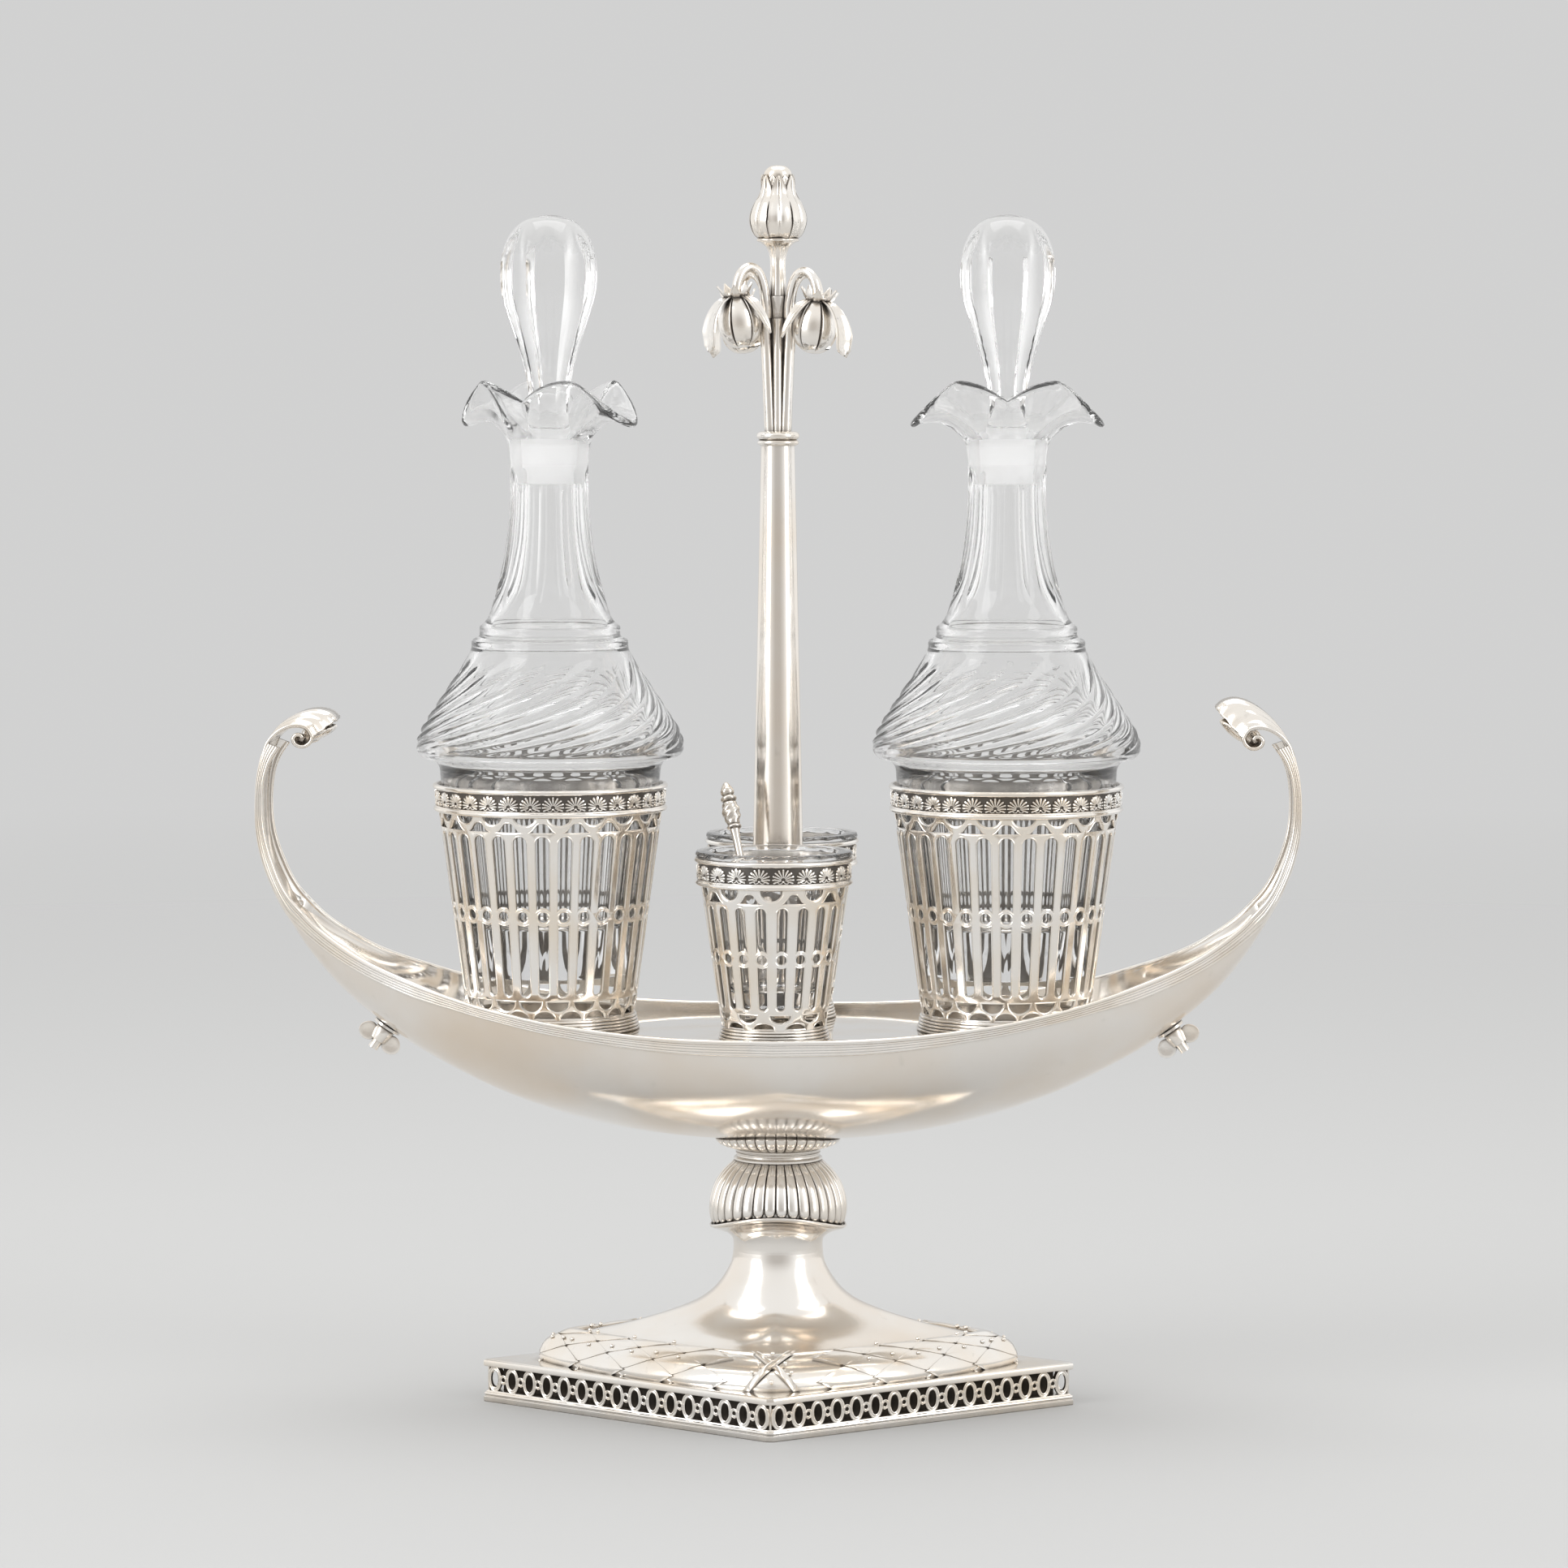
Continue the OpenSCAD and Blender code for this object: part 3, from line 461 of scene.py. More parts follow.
def make_rim():
    """Reeded band: a bright bead on the rim and finer reeds below it."""
    prof = [(-1.25, -0.6)] + arc(-0.12, -0.05, 0.98, 180, -10, 9)
    for k in range(4):
        prof += arc(0.42, -0.86 - 0.78 * k, 0.39, 62, -62, 6)
    prof = np.array(prof + [(0.1, -3.7), (-0.5, -3.7)])
    span = KEEL_LINE - RIM_LINE
    length = np.linalg.norm(span, axis=1)
    unit = span / length[:, None]
    scale = np.clip((length - 0.1) / 3.8, 0, 1)
    for name, way, node in (("rim_reeds_front", -1, "rim_moulding_front"),
            ("rim_reeds_back", 1, "rim_moulding_back")):
        o, h = prof[:, 0], prof[:, 1]
        pos = RIM_LINE[:, None] + unit[:, None] * (-h[None, :, None] * scale[:, None, None])
        frac = np.clip(-h[None] * scale[:, None] / length[:, None], 0, 1)
        pull = (1 - frac ** BOXY[:, None]) ** (1 / BOXY[:, None])
        y = RIM_W[:, None] * pull + o[None] * mix(0.55, 1, scale)[:, None]
        p = both_sides(np.stack([pos[..., 0], way * y, pos[..., 1]], -1))
        Piece().loft(p).make(name, SILVER, node, 60)


make_boat()
make_rim()

# --------------------------------------------------------------------- foot
FOOT_A, FOOT_B, FOOT_Z = 84.3, 60.0, 12.2
FOOT_K = hypot(FOOT_A, FOOT_B) / (FOOT_A * FOOT_B)
WREATH_OUT, WREATH_IN = (68.0, 51.0), (57.2, 38.6)


def level(ring, z):
    """A flat ring's points at height z."""
    return np.c_[ring, np.full(len(ring), z)]


def lozenge(inset, cut=1.0):
    """Corners of the foot's outline moved in by inset."""
    k = 1 - inset * FOOT_K
    a, b = FOOT_A * k, FOOT_B * k
    e = 0.35
    return np.array([(-a, -e), (-cut, -b), (cut, -b), (a, -e), (a, e), (cut, b), (-cut, b), (-a, e)])


def lozenge_sweep(profile):
    """Closed (inset, z) profile swept round the foot."""
    return np.array([level(lozenge(inset), z) for inset, z in profile])


GALLERY_INSET, GALLERY_Z = 0.85, 6.65
TALL_RINGS = 16             # along each side of the foot, with a small ring between each two


def gallery_ring(piece, origin, along, out, u, rx, rz, wide, count):
    """Upright flat ring with a raised band, at distance u along one side of the foot."""
    t = np.arange(count) * TAU / count
    ring = []
    for dr, dn in ((-wide, -0.35), (-wide, 0.3), (-wide * 0.55, 0.45), (-0.1, 0.3), (0.1, 0.3),
            (wide * 0.55, 0.45), (wide, 0.3), (wide, -0.35)):
        px, pz = (rx + dr) * np.cos(t), (rz + dr) * np.sin(t)
        ring.append(np.c_[origin + along * (u + px)[:, None] + out * dn, GALLERY_Z + pz])
    piece.loft(np.array(ring), wrap_u=True)


def make_foot():
    base = [(0.15, 0), (0, 0.2), (0, 1.4), (0.12, 1.55), (0.35, 1.6), (0.42, 1.75), (0.2, 1.95), (0.1, 2.3),
        (0.2, 2.7), (0.42, 2.85), (0.5, 3.1), (0.65, 3.25), (3.2, 3.25), (3.2, 0)]
    Piece().loft(lozenge_sweep(base), wrap_u=True).make("foot_base", SILVER, "foot_base_moulding", 30)
    top = [(4.5, 10.1), (0.5, 10.1), (0.15, 10.25), (0, 10.5), (0, 11.5), (0.12, 11.95), (0.45, 12.18),
        (0.8, 12.2), (24, 12.2), (24, 11.2), (4.5, 11.2)]
    Piece().loft(lozenge_sweep(top), wrap_u=True).make("foot_plate", SILVER, "foot_top_plate", 30)
    gallery = Piece()
    for sx in (-1, 1):
        for sy in (-1, 1):
            k = 1 - GALLERY_INSET * FOOT_K
            a = np.array([sx * FOOT_A * k, 0.0])
            c = np.array([sx * 1.0, sy * FOOT_B * k])
            length = np.linalg.norm(c - a)
            along = (c - a) / length
            out = np.array([-along[1], along[0]])
            if out[1] * sy < 0:
                out = -out
            pitch = (length - 4) / (TALL_RINGS - 1)
            for i in range(TALL_RINGS):
                u = 2.4 + i * pitch
                gallery_ring(gallery, a, along, out, u, 1.95, 3.1, 0.6, 28)
                if i < TALL_RINGS - 1:
                    gallery_ring(gallery, a, along, out, u + pitch / 2, 1.0, 1.0, 0.4, 16)
    for x, y in ((0, 1), (0, -1), (1, 0), (-1, 0)):
        post = np.array([x * FOOT_A, y * FOOT_B]) * (1 - 0.95 * FOOT_K)
        gallery.tube([(*post, 3.1), (*post, 10.2)], 0.4, 8, up=(0, 1, 0))
    gallery.make("gallery_rings", PIERCED_SILVER, "foot_gallery", 45, slot="oxidised_silver")


make_foot()


def soft_ring(length, width, roundness, n):
    """Closed ring: roundness 0 is a soft lozenge and 1 an ellipse."""
    a = np.arange(n) * TAU / n
    p = mix(1.16, 2, roundness)
    c, s = np.cos(a), np.sin(a)
    r = (np.abs(c) ** p + np.abs(s) ** p) ** (-1 / p)
    return np.c_[length * c * r, width * s * r]


def make_dome():
    """Plain dome, from the lozenge of the wreath's inner edge to the round neck."""
    levels = spline([(57.2, 38.6, 20.2, 0), (50, 31.4, 21.7, 0.02), (43, 27.4, 23.2, 0.06),
        (36, 24, 25.1, 0.14), (29, 21, 27.4, 0.32), (22.6, 18.6, 30.1, 0.6), (18.6, 17, 33, 0.85),
        (15.9, 15.4, 36.2, 1), (13.7, 13.7, 40, 1), (13.0, 13.0, 42.4, 1), (12.75, 12.75, 44.5, 1)], 5)
    n = 128
    rows = [level(soft_ring(a, b, min(max(k, 0), 1), n), z) for a, b, z, k in levels]
    inner = [level(soft_ring(*WREATH_IN, 0, n), FOOT_Z)]
    b = Piece().loft(np.array(inner + rows))
    b.make("dome", HULL_SILVER, "foot_dome", 50)


make_dome()

# ------------------------------------------------------------------- wreath
WREATH_SECTION = [(0, 12.2), (-0.01, 13.5), (0.03, 15.1), (0.2, 17.5), (0.5, 19.4), (0.8, 20.4), (1, 20.4)]


class Surface:
    """Lookup of points and normals on the wreath: s along it (0 to 1), v across it in mm."""

    def __init__(self, around=1440, across=40):
        t, z = spline(WREATH_SECTION, 8).T
        rows = []
        for k in range(len(t)):
            size = [mix(o, i, t[k]) for o, i in zip(WREATH_OUT, WREATH_IN)]
            ring = soft_ring(*size, 0.12 * max(0, 1 - t[k]), 4 * around)
            ring = resample(np.r_[ring, ring[:1]], around + 1)[:-1]
            rows.append(level(ring, z[k]))
        grid = np.array(rows)
        self.p = np.stack([resample(grid[:, k], across) for k in range(around)], 1)
        du = np.roll(self.p, -1, 1) - np.roll(self.p, 1, 1)
        dv = np.gradient(self.p, axis=0)
        n = np.cross(du, dv)
        self.n = n / np.linalg.norm(n, axis=-1)[..., None]
        self.across, self.around = across, around
        self.width = np.linalg.norm(np.diff(self.p[:, around // 8], axis=0), axis=1).sum()
        mid = self.p[across // 2]
        self.length = np.linalg.norm(np.roll(mid, -1, 0) - mid, axis=1).sum()

    def at(self, s, v, lift):
        s = (np.asarray(s, float) / self.length % 1) * self.around
        v = np.clip(np.asarray(v, float) / self.width, 0, 1) * (self.across - 1)
        i, j = np.floor(v).astype(int), np.floor(s).astype(int)
        i2, j2 = np.minimum(i + 1, self.across - 1), (j + 1) % self.around
        j %= self.around
        fv, fs = (v - np.floor(v))[..., None], (s - np.floor(s))[..., None]

        def pick(a):
            return mix(mix(a[i, j], a[i, j2], fs), mix(a[i2, j], a[i2, j2], fs), fv)
        return pick(self.p) + pick(self.n) * np.asarray(lift, float)[..., None]


LEAF_LENGTH, LEAF_HALF, LEAF_PITCH = 20.5, 3.8, 16.4
SKIRT = -0.25   # a leaf's edge reaches this far into the wreath


def make_wreath():
    surf = Surface()
    quarter = surf.length / 4
    b = Piece()
    rows = surf.p[:, ::6]
    core = [level(rows[-1][:, :2] * 0.995, z) for z in (20.2, FOOT_Z)]
    b.loft(np.concatenate([rows, np.array(core)]), wrap_u=True)
    # leaves, tips towards the front and back centres
    a = np.linspace(0, 1, 15)[:, None]
    c = np.linspace(-1, 1, 11)[None]
    for quad in range(4):
        way = 1 if quad in (0, 2) else -1
        start = (quad + (way < 0)) * quarter
        for row in range(4):
            v0 = surf.width * (0.13 + 0.245 * row)
            for k in range(-1, 6):
                s0 = (k + 0.5 * (row % 2)) * LEAF_PITCH - 1.5
                w = LEAF_HALF * np.sin(pi * a ** 0.92) ** 1.25
                along = s0 + a * LEAF_LENGTH
                if s0 <= -12 or along[-1, 0] >= quarter - 4.5:
                    continue
                cross = v0 + c * w + 0 * a
                lift = (0.1 + 0.6 * a + 0.25 * smoothstep(0.72, 0.9, np.abs(c))
                    + 0.5 * (1 - c ** 2) * np.sin(pi * a))
                leaf = surf.at(start + way * (along + 0 * c), cross, lift)
                skirt = surf.at(start + way * (along + 0 * c), cross, SKIRT + 0 * lift)
                b.loft(np.concatenate([leaf, skirt[:, ::-1]], 1))
                berry = surf.at(start + way * (s0 + 3.4), v0 + LEAF_HALF * (0.62 if row % 2 else -0.62),
                    1.0)
                b.ball(berry, 0.6, 6, 8)
    # crossed ribbons over the wreath at its front and back
    for centre in (quarter, 3 * quarter):
        for lean in (-1, 1):
            v = np.linspace(0.02, 0.97, 26) * surf.width
            s = centre + lean * np.linspace(-6.5, 6.5, 26)
            band = []
            for off, up in ((-1.1, 0.2), (-1.0, 1.15), (-0.75, 1.0), (0.75, 1.0), (1.0, 1.15), (1.1, 0.2)):
                band.append(surf.at(s + off, v, 0 * s + up + 0.12 * lean))
            b.grid(np.array(band), wrap_u=True)
        for ds, dv in ((0, 0.16), (0, 0.84), (-3.6, 0.5), (3.6, 0.5), (-5.2, 0.3), (5.2, 0.3)):
            b.ball(surf.at(centre + ds, dv * surf.width, 1.1), 0.62, 6, 10)
    edge = surf.at(np.linspace(0, surf.length, 361)[:-1], 0.96 * surf.width + np.zeros(360), np.zeros(360))
    b.tube(edge, 0.8, 10, closed=True, slot=1)
    b.make("laurel_leaves", (WREATH_SILVER, SILVER), "laurel_wreath", 42, recalc=False)


make_wreath()


# --------------------------------------------------------------------- stem
SPOOL_TOP, KNOP_TOP, COLLAR_TOP = 53.5, 70.2, 73.9
GADROONS = 36


def joint_z(angle):
    """The spool and the knop meet on a saddle that rises at the front and back."""
    return SPOOL_TOP - 2.2 * np.cos(2 * angle)


def hull_under(radius, angle):
    """Height of the hull's underside round the column's axis."""
    x, y = radius * np.cos(angle), radius * np.sin(angle)
    keel = np.interp(np.abs(x), KEEL_LINE[:, 0], KEEL_LINE[:, 1])
    rim = np.interp(np.abs(x), RIM_LINE[:, 0], RIM_LINE[:, 1])
    return keel + (rim - keel) * (1 - np.sqrt(1 - (y / rim_half_width(x)) ** 2)) - 0.05


def make_stem():
    profile = spline([(12.75, 44.5), (12.7, 46), (12.95, 48.2), (14.1, 50.4), (16.4, 52), (18.6, 52.8),
        (19.1, 53.1)], 4)
    profile = np.r_[[(0, 44.5)], profile, [(19.2, SPOOL_TOP), (0, SPOOL_TOP)]]

    def saddle(a, r, z):
        rise = joint_z(a) - SPOOL_TOP
        return r, z + rise * smoothstep(46, SPOOL_TOP, z)

    Piece().lathe(profile, 144, shape=saddle).make("spool", HULL_SILVER, "stem_spool", 40)

    base = spline([(18.6, 50.5), (19.2, 53), (19.65, 55.5), (19.6, 58.2), (19.0, 61.2), (17.8, 64.2),
        (15.9, 67), (13.9, 69), (12.5, 70.1)], 6)
    steps = np.r_[0, 0.01, 0.03, 0.06, 0.1, np.linspace(0.15, 1, 22)]
    angles, u = lobes(GADROONS, (-1, -0.93, -0.8, -0.6, -0.3, 0, 0.3, 0.6, 0.8, 0.93), 0.5)
    low = joint_z(angles) + 0.35
    z = low + steps[:, None] * (KNOP_TOP - low)
    r = np.interp(z, base[:, 1], base[:, 0])
    rounded = np.clip((z - low) / 2.2, 0.0004, 1)
    wide = np.sqrt(1 - (1 - rounded) ** 2)
    top_in = np.clip((70.3 - z) / 1.2, 0, 1)
    across = np.clip(u / np.maximum(wide, 1e-3), 0, 1)
    depth = 1.15 * (1 - np.sqrt(1 - across ** 3.2))
    end = 0.9 * (1 - np.sqrt(1 - (1 - rounded) ** 2))
    r = r - np.maximum(depth, end) * mix(0.35, 1, top_in)
    b = Piece()
    pts = polar(r, angles, z)
    floor = pts[:1] * np.array([0.9, 0.9, 1])
    roof = pts[-1:] * np.array([0.6, 0.6, 1])
    b.loft(np.concatenate([floor, pts, roof]))
    ring = polar(19.15, angles, joint_z(angles) + 0.1)
    b.tube(ring[::2], 0.42, 8, closed=True)
    b.make("knop", CAST_SILVER, "gadrooned_knop", 55)

    collar = [(0, KNOP_TOP), (12.3, KNOP_TOP), (12.6, 70.5), (12.6, 71), (12.2, 71.3), (11.85, 71.5),
        (11.8, 72), (12.05, 72.2), (12.05, 72.5), (11.8, 72.7), (11.8, 72.9), (12.2, 73.1), (12.3, 73.5),
        (12.1, COLLAR_TOP), (0, COLLAR_TOP)]
    Piece().lathe(collar, 96).make("collar", SILVER, "stem_collar", 35)

    disc = spline([(12.2, 0), (14, 0.04), (16, 0.24), (17.3, 0.52), (17.85, 0.84), (17.4, 1)], 4)
    angles, u = lobes(GADROONS, (-1, -0.9, -0.65, -0.3, 0, 0.3, 0.65, 0.9), 0.5)
    depth = 0.8 * (1 - np.sqrt(1 - u ** 3)) * smoothstep(12, 13.2, disc[:, :1])
    top = hull_under(17.4, angles)
    r = disc[:, :1] - 0.75 * depth
    z = COLLAR_TOP + disc[:, 1:] * (top - COLLAR_TOP) + depth * smoothstep(1, 0.4, disc[:, 1:])
    rows = [polar(r, angles, z)]
    for inside in (14.0, 9.0, 4.0, 0.0):
        rows.append(polar(inside, angles, hull_under(inside, angles))[None])
    hub = polar(0, angles, COLLAR_TOP)[None]
    Piece().loft(np.concatenate([hub] + rows)).make("gadroon_disc", CAST_SILVER, "gadrooned_disc", 50)


make_stem()

# ------------------------------------------------------------------ holders
BOTTLE_X, CUP_Y = 64.7, 31.0
SLEEVE_Z, SLEEVE_WALL = 112.2, 0.9      # the sleeves start on their base rings


def slot_outline(w, z0, z1, ring_z, ring_r, horn):
    """Slot with one round end and one hollow end that follows a ring round a small hole."""
    h = w / 2
    bend = in_degrees(asin(h / ring_r))
    if horn < 0:
        return np.array(oval(0, ring_z, ring_r, ring_r, 90 + bend, 90 - bend, 7)
            + oval(0, z1 - h, h, h, 0, 180, 9))
    return np.array(oval(0, z0 + h, h, h, 180, 360, 9) + oval(0, ring_z, ring_r, ring_r, 270 + bend,
        270 - bend, 7))


def dish_outline(w, z, rise):
    """Half-round opening with its flat side at height z."""
    first = 0 if rise > 0 else 180
    bow = oval(0, z, w / 2, abs(rise), first, first + 180, 13)
    flat = [tuple(mix(np.array(bow[-1]), np.array(bow[0]), k / 4)) for k in (1, 2, 3)]
    return np.array(bow + flat)


def lunette_outline(w, z, rise):
    """Low opening with a flat base and hollow shoulders."""
    half = [(w * 0.5, z), (w * 0.4, z + rise * 0.12), (w * 0.32, z + rise * 0.4),
        (w * 0.24, z + rise * 0.68), (w * 0.17, z + rise * 0.9), (w * 0.08, z + rise)]
    base = [(-w * 0.25, z), (0, z), (w * 0.25, z)]
    return np.array(half + [(-x, y) for x, y in half[::-1]] + base)


def offset_loop(loop, d):
    """Anticlockwise outline moved outwards by d."""
    before, after = loop - np.roll(loop, 1, 0), np.roll(loop, -1, 0) - loop
    before /= np.linalg.norm(before, axis=1)[:, None]
    after /= np.linalg.norm(after, axis=1)[:, None]
    n1 = np.stack([before[:, 1], -before[:, 0]], 1)
    m = n1 + np.stack([after[:, 1], -after[:, 0]], 1)
    m /= np.linalg.norm(m, axis=1)[:, None]
    return loop + m * (d / np.clip((m * n1).sum(1), 0.62, None))[:, None]


def pierced_cone(r0, r1, z1, holes):
    """Sleeve with openings; holes holds (outline, centre angle in degrees). Edges are eased and
    a fine line is engraved round each opening."""
    z0, wall = SLEEVE_Z, SLEEVE_WALL
    edge = [(0.5, 0), (0.37, 0.08), (0.24, 0), (0.08, 0.07), (0, 0.25), (0, wall - 0.12), (0.1, wall),
        (0.5, wall)]

    def place(angle, z, depth):
        r = r0 + (r1 - r0) * (z - z0) / (z1 - z0) - depth
        return polar(r, angle, z)

    b = Piece()
    n = 240
    flat, loops = [], []

    def lay(angle, z):
        rho = 30 + z - z0
        base = len(flat)
        flat.extend(zip(rho * np.cos(angle), rho * np.sin(angle)))
        loops.append(list(range(base, len(flat))))

    a = np.arange(n) * TAU / n
    lay(a, np.full(n, z1))
    lay(a, np.full(n, z0))
    for outline, centre in holes:
        zc = outline[:, 1].mean()
        rc = r0 + (r1 - r0) * (zc - z0) / (z1 - z0)
        rows = []
        for k, (off, depth) in enumerate(edge):
            loop = offset_loop(outline, off)
            angle = radians(centre) + loop[:, 0] / rc
            if k == 0:
                lay(angle[::-1], loop[::-1, 1])
            rows.append(place(angle, loop[:, 1], depth))
        b.loft(np.array(rows[:5]))
        b.loft(np.array(rows[4:]), slot=1)
    verts, _, faces, _, _, origin = delaunay_2d_cdt(flat, [], loops, 0, 1e-6, True)
    v = np.array([(p.x, p.y) for p in verts])
    angle, z = np.arctan2(v[:, 1], v[:, 0]), np.hypot(v[:, 0], v[:, 1]) - 30 + z0
    tri = [f for f, o in zip(faces, origin) if list(o) == [0]]
    b.add(place(angle, z, 0), tri)
    b.add(place(angle, z, wall), [f[::-1] for f in tri], 1)
    for z in (z0, z1):
        b.loft(np.stack([place(a, np.full(n, z), 0), place(a, np.full(n, z), wall)]))
    return b


def bottle_holes():
    holes = []
    ring_z = 141.8
    for k in range(30):
        at = 6 + 12 * k
        holes += [(slot_outline(3.75, 0, 164.6, ring_z, 2.75, -1), at),
            (slot_outline(2.7, 119.2, 0, ring_z, 2.7, 1), at), (np.array(oval(0, ring_z, 1.42, 1.42, 0, 342,
            20)), at)]
    for k in range(20):
        at = 9 + 18 * k
        holes += [(dish_outline(6.3, 170.2, -2.4), at), (lunette_outline(7.0, 165.8, 2.5), at + 9),
            (dish_outline(6.0, 117.5, -2.7), at), (dish_outline(5.8, 112.8, 2.0), at + 9)]
    return holes


def cup_holes():
    holes = []
    ring_z = 132.2
    for k in range(20):
        at = 9 + 18 * k
        holes += [(slot_outline(2.8, 0, 146.6, ring_z, 2.5, -1), at),
            (slot_outline(2.3, 118.0, 0, ring_z, 2.5, 1), at), (np.array(oval(0, ring_z, 1.3, 1.3, 0, 340,
            18)), at)]
    for k in range(10):
        at = 36 * k
        holes += [(dish_outline(6.0, 151.5, -2.8), at), (lunette_outline(6.2, 147.9, 2.5), at + 18),
            (dish_outline(5.6, 116.4, -2.0), at + 9), (dish_outline(5.6, 112.7, 1.35), at + 27)]
    return holes


def palmette():
    """A fan of lobes over two scrolls, 6 wide and 5 high: x across, y up, z out."""
    b = Piece()
    for k in range(11):
        a = radians(-112 + 22.4 * k)
        reach = 3.55 - 0.55 * abs(sin(a / 1.4)) ** 1.5
        u = np.array([0.2, 0.42, 0.66, 0.86, 0.97, 1.0])
        rad = np.array([0.16, 0.24, 0.36, 0.45, 0.36, 0.1])
        path = np.stack([reach * u * sin(a), 1.35 + reach * u * cos(a), 0.1 + 0.16 * np.sin(pi * u)], 1)
        b.tube(path, rad, 6, flat=1.3)
    for side in (-1, 1):
        t = np.linspace(0, 1, 13)
        turn = radians(200) + t * 5.0
        r = 0.85 * (1 - 0.72 * t)
        path = np.stack([side * (1.05 + r * np.cos(turn)), 0.8 + r * np.sin(turn), 0.12 + 0 * t], 1)
        b.tube(path, 0.26 - 0.1 * t, 6, flat=1.1)
    b.ball((0, 0.75, 0.1), 0.42, 5, 8)
    return b


def wrap_round(piece, radius, z, angle, height):
    """A flat relief bent round the z axis at a radius, scaled to a height."""
    v = np.concatenate(piece.verts)
    k = height / 5.0
    th = angle + v[:, 0] * k * 1.16 / radius
    r = radius + v[:, 2]
    new = Piece()
    new.verts = [polar(r, th, z + v[:, 1] * k)]
    new.faces, new.slots, new.count = [list(f) for f in piece.faces], [2] * len(piece.faces), piece.count
    return new


def frieze(radius, z_low, count):
    """Band of palmettes on a dark ground between a moulding and the rim's wire; 8 mm high."""
    b = Piece()
    ground = radius - 1.25
    low = ([(radius - 2.05, 0.1), (radius - 1.5, 0.1)] + arc(radius - 0.95, 0.95, 0.72, -80, 60, 9)
        + arc(radius - 0.98, 1.72, 0.3, 0, 90, 4) + [(ground, 2.1)])
    high = ([(ground, 6.45), (radius - 0.9, 6.5)] + arc(radius - 0.72, 7.28, 0.72, -75, 88, 9)
        + [(radius - 1.3, 7.95), (radius - 1.7, 7.5), (radius - 1.95, 6.4), (radius - 2.05, 0.1)])
    for part, tone in ((low, 0), ([low[-1], high[0]], 1), (high, 0)):
        part = np.array(part)
        part[:, 1] += z_low
        b.lathe(part, 180, slot=tone)
    pattern = palmette()
    for k in range(count):
        b.merge(wrap_round(pattern, ground + 0.02, z_low + 2.15, (k + 0.5) * TAU / count, 4.2))
    return b


def reeded_ring(radius, reeds=5):
    """Base ring on the deck, with stepped reeds."""
    step = 4.5 / reeds
    prof = [(radius - 2.6, DECK_Z)]
    for k in range(reeds):
        prof += arc(radius - 0.2 - 0.2 * k, DECK_Z + (k + 0.5) * step, step * 0.49, -80, 80, 7)
    prof += [(radius - 2.6, SLEEVE_Z)]
    return Piece().lathe(prof, 128, wrap_u=True)


def make_holders():
    bottle = (pierced_cone(23.9, 31.85, 170.8, bottle_holes()), frieze(33.4, 169.7, 32), reeded_ring(25.0))
    cup = (pierced_cone(14.6, 20.4, 152.1, cup_holes()), frieze(22.2, 151.5, 20), reeded_ring(15.5))
    for parts, kind, ends in ((bottle, "holder", (("left", (-BOTTLE_X, 0)), ("right", (BOTTLE_X, 0)))),
            (cup, "cup", (("front", (0, -CUP_Y)), ("back", (0, CUP_Y))))):
        for side, (x, y) in ends:
            move = turn_z(pi if side == "left" else pi / 2 * (kind == "cup"), (x, y, 0))
            sleeve, band, ring = [p.copy(move) for p in parts]
            sleeve.make(f"{kind}_piercing_{side}", (PIERCED_SILVER, INSIDE_SILVER), f"{kind}_sleeve_{side}",
                32, weld=2e-6)
            band.make(f"{kind}_palmettes_{side}", (SILVER, OXIDE, RELIEF), f"{kind}_frieze_{side}", 40,
                slot="oxidised_silver")
            ring.make(f"{kind}_reeds_{side}", SILVER, f"{kind}_ring_{side}", 50)


make_holders()

# ------------------------------------------------------- column and flowers
FLOWER_R = 13.2
FLOWERS = (("back_left", 142, 0), ("front_left", 218, 1.6), ("front_right", 322, 0.4),
    ("back_right", 38, 0))


def petal(path, width, cup, groove, thick=0.45, cols=11, wrapped=False):
    """Closed petal as a piece: path is (out, up) points, width the half width at each point."""
    path, width = np.asarray(path, float), np.asarray(width, float)
    t = np.gradient(path, axis=0)
    t /= np.linalg.norm(t, axis=1)[:, None]
    nor = np.stack([t[:, 1], -t[:, 0]], 1)
    c = np.linspace(-1, 1, cols)[None]
    w = width[:, None]
    lift = -cup * np.abs(c) ** 2 * w - groove * np.exp(-(c / 0.13) ** 2) * smoothstep(0.2, 1.5, w)
    lift = lift + 0.18 * np.abs(c) ** 8
    sides = []
    for depth in (0, thick):
        out = path[:, :1] + nor[:, :1] * (lift - depth)
        up = path[:, 1:] + nor[:, 1:] * (lift - depth)
        if wrapped:
            sides.append(polar(out, c * w / np.maximum(path[:, :1], 1.0), up))
        else:
            sides.append(np.stack([out, c * w, up], -1))
    return Piece().loft(np.concatenate([sides[0], sides[1][:, ::-1]], 1))


